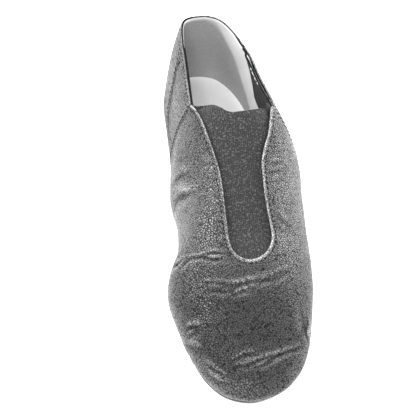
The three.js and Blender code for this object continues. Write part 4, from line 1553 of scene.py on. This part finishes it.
@dataclass
class Stitches:
    """Rows of stitches along the edges of the leather."""

    last: Last
    finishes: Finishes
    quarters: Quarters
    pitch: float = 3.0
    length: float = 1.9
    radius: float = 0.3
    below_throat: float = 2.3
    below_collar: float = 2.6
    from_seam: Sequence[tuple[str, float]] = (("edge", 1.6), ("second", 3.6))
    inside_overlay: float = 1.8
    proud: float = 0.02
    # half width; start and step, as shares of the length; turns; place below the edge and under the skin
    zigzag: float = 0.9
    zigzag_start: float = 0.755
    zigzag_step: float = 0.0085
    zigzag_turns: int = 9
    zigzag_below: float = 3.6
    zigzag_under: float = 3.9

    def row(self, name: str, path: Trail, material: bpy.types.Material) -> bpy.types.Object:
        """One row of stitches.

        Args:
            name: the row's name.
            path: points along it and the outward direction at each.
            material: the thread's finish.

        Returns:
            The row as one mesh.
        """
        bm = bmesh.new()
        small = Matrix.Diagonal((MM, MM, MM, 1))
        done = [0.0]
        for (a, _), (b, _) in zip(path, path[1:]):
            done.append(done[-1] + (b - a).length)
        count = int(done[-1] / self.pitch)
        for i in range(count):
            ends = []
            for reached in (i * self.pitch, i * self.pitch + self.length):
                k = int(clamp(bisect_left(done, reached), 1, len(done) - 1))
                share = (reached - done[k - 1]) / max(done[k] - done[k - 1], 1e-9)
                ends.append(path[k - 1][0].lerp(path[k][0], share))
            out = path[k][1]
            along = (ends[1] - ends[0]).normalized()
            side = along.cross(out).normalized()
            turn = Matrix((along, side, along.cross(side))).transposed().to_4x4()
            size = Matrix.Diagonal((self.length / 2, self.radius, self.radius, 1))
            place = Matrix.Translation((ends[0] + ends[1]) / 2 * MM)
            matrix = place @ turn @ size @ small
            bmesh.ops.create_uvsphere(bm, u_segments=8, v_segments=5, radius=1.0, matrix=matrix)
        return settle(to_object(name, bm), material, "upper")

    def along_top(self, columns: Sequence[Column], below: float, offset: float) -> Trail:
        """A line at a distance below the top edge."""
        path = []
        for column in columns:
            walk, turn = column.at(column.below(below))
            path.append((self.last.skin(walk, turn, offset), self.last.normal(walk, turn)))
        return path

    def _zigzag(self, columns: Sequence[Column]) -> Trail:
        """A zigzag along the back end of the outer wing, on the side that looks into the shoe."""
        path = []
        for i in range(self.zigzag_turns):
            walk_here = self.last.walk_at(Side.OUTER, self.zigzag_start + self.zigzag_step * i)
            column = min(columns, key=lambda one: abs(one.top_walk - walk_here))
            below = self.zigzag_below + self.zigzag * (-1) ** i
            walk, turn = column.at(column.below(below))
            path.append((self.last.skin(walk, turn, -self.zigzag_under), -self.last.normal(walk, turn)))
        return path

    def build(self) -> list[bpy.types.Object]:
        """Makes every row."""
        last = self.last
        vamps = round_toe(lambda side: vamp_columns(last, side, 120, (0.6,)))
        backs = round_heel(lambda side: quarter_columns(last, side, 120))
        thread = self.finishes.thread
        throat = self.along_top(vamps, self.below_throat, self.proud)
        collar = self.along_top(backs, self.below_collar, -self.quarters.set_back + self.proud)
        rows = [self.row("throat_stitches", throat, thread), self.row("collar_stitches", collar, thread)]
        for side in Side:
            for name, distance in self.from_seam:
                step = last.walk_over(distance) * -side.value
                column = Column(last, last.seam_walks[side] + step, last.ear_walks[side] + step)
                path = []
                for i in range(80):
                    walk, turn = column.at(lerp(0.16, column.below(2.5), i / 79))
                    path.append((last.skin(walk, turn, self.proud), last.normal(walk, turn)))
                rows.append(self.row(f"seam_{name}_stitches_{side.name.lower()}", path, thread))
        rows.append(self.row("wing_stitches", self._zigzag(backs), self.finishes.pale_thread))
        offset = self.quarters.overlay_rise - self.quarters.set_back
        for side in Side:
            rim = self.quarters.overlay_rim(side, self.inside_overlay)
            seen = rim[2 : -(self.quarters.heel_steps + 1)]
            path = [(last.skin(*place, offset), last.normal(*place)) for place in seen]
            rows.append(self.row(f"overlay_stitches_{side.name.lower()}", path, thread))
        return rows


@dataclass
class Studio:
    """Camera, floor and light."""

    last: Last
    eye: tuple[float, float, float] = (-91.1, -333.0, 437.2)
    azimuth: float = -12.79
    elevation: float = 50.62
    roll: float = 5.32
    lens: float = 79.15
    sensor: float = 36.0
    floor_height: float = -0.0002
    # name, place and side in metres, power in watts
    lamps: Sequence[tuple[str, tuple[float, float, float], float, float]] = (
        ("left", (-0.85, 0.3, 0.85), 0.8, 36.0),
        ("right", (1.0, 0.62, 0.5), 1.3, 50.0),
        ("back", (0.0, 1.0, 1.0), 0.5, 12.0),
        ("front", (-0.25, -0.85, 1.2), 0.6, 22.0),
        ("toe", (0.05, -1.2, 0.3), 0.6, 8.0),
    )
    # the point that the lamps look at, in metres
    aim: tuple[float, float, float] = (0.0, 0.0, 0.04)

    def build(self) -> None:
        """Sets up camera, floor, surroundings and lamps."""
        scene = bpy.context.scene
        camera = bpy.data.objects.new("camera", bpy.data.cameras.new("camera"))
        scene.collection.objects.link(camera)
        camera.data.lens = self.lens
        camera.data.sensor_width = self.sensor
        camera.data.clip_start = 0.01
        place = Matrix.Translation(Vector((self.eye[0] + self.last.axis_x, self.eye[1], self.eye[2])) * MM)
        turn = Matrix.Rotation(math.radians(self.azimuth), 4, "Z")
        lift = Matrix.Rotation(math.radians(90 - self.elevation), 4, "X")
        camera.matrix_world = place @ turn @ lift @ Matrix.Rotation(math.radians(self.roll), 4, "Z")
        scene.camera = camera
        bm = bmesh.new()
        bmesh.ops.create_grid(bm, x_segments=1, y_segments=1, size=6.0)
        bmesh.ops.translate(bm, verts=bm.verts, vec=(0, 0, self.floor_height))
        floor = to_object("floor", bm, smooth=False)
        floor.data.materials.append(Plain("pale_floor", 0.9, 0.9, 30.0, 0.01, 0.0).make())

        world = bpy.data.worlds.new("studio")
        world.use_nodes = True
        bench = Bench(world.node_tree)
        place = bench.add("ShaderNodeTexCoord").outputs["Generated"]
        height = bench.add("ShaderNodeSeparateXYZ", {}, Vector=place).outputs[2]
        tone = bench.mix(bench.ramp(height, 0.25, 0.95, 0.0, 1.0), grey(1.0), grey(0.4))
        bench.feed(world.node_tree.nodes["Background"], Color=tone, Strength=0.9)
        scene.world = world
        scene.view_settings.view_transform = "Standard"
        for lamp in self.lamps:
            self._lamp(*lamp)

    def _lamp(self, name: str, place: tuple[float, float, float], size: float, power: float) -> None:
        """A square soft lamp that looks at the shoe.

        Args:
            name: its name.
            place: where it stands, in metres.
            size: its side, in metres.
            power: its power, in watts.
        """
        light = bpy.data.lights.new(name, "AREA")
        light.size = size
        light.energy = power
        lamp = bpy.data.objects.new(name, light)
        lamp.location = place
        lamp.rotation_euler = (Vector(self.aim) - Vector(place)).to_track_quat("-Z", "Y").to_euler()
        bpy.context.scene.collection.objects.link(lamp)


def corners(box: Sequence[Sequence[float]]) -> list[list[float]]:
    """A box as plain lists."""
    return [[float(value) for value in corner] for corner in box]


def main() -> None:
    """Builds the shoe, piece by piece."""
    logging.basicConfig(level=logging.INFO, format="%(name)s: %(message)s")
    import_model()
    last = Last()
    Studio(last).build()
    finishes = Finishes()
    quarters = Quarters(last, finishes)
    assemblies = (
        Vamp(last, finishes),
        quarters,
        Inside(last, finishes),
        Gore(last, finishes),
        Sole(last, finishes),
        Stitches(last, finishes, quarters),
    )
    for assembly in assemblies:
        for piece in assembly.build():
            log.info("%s: %d faces", piece.name, len(piece.data.polygons))
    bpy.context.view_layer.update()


if __name__ == "__main__":
    main()
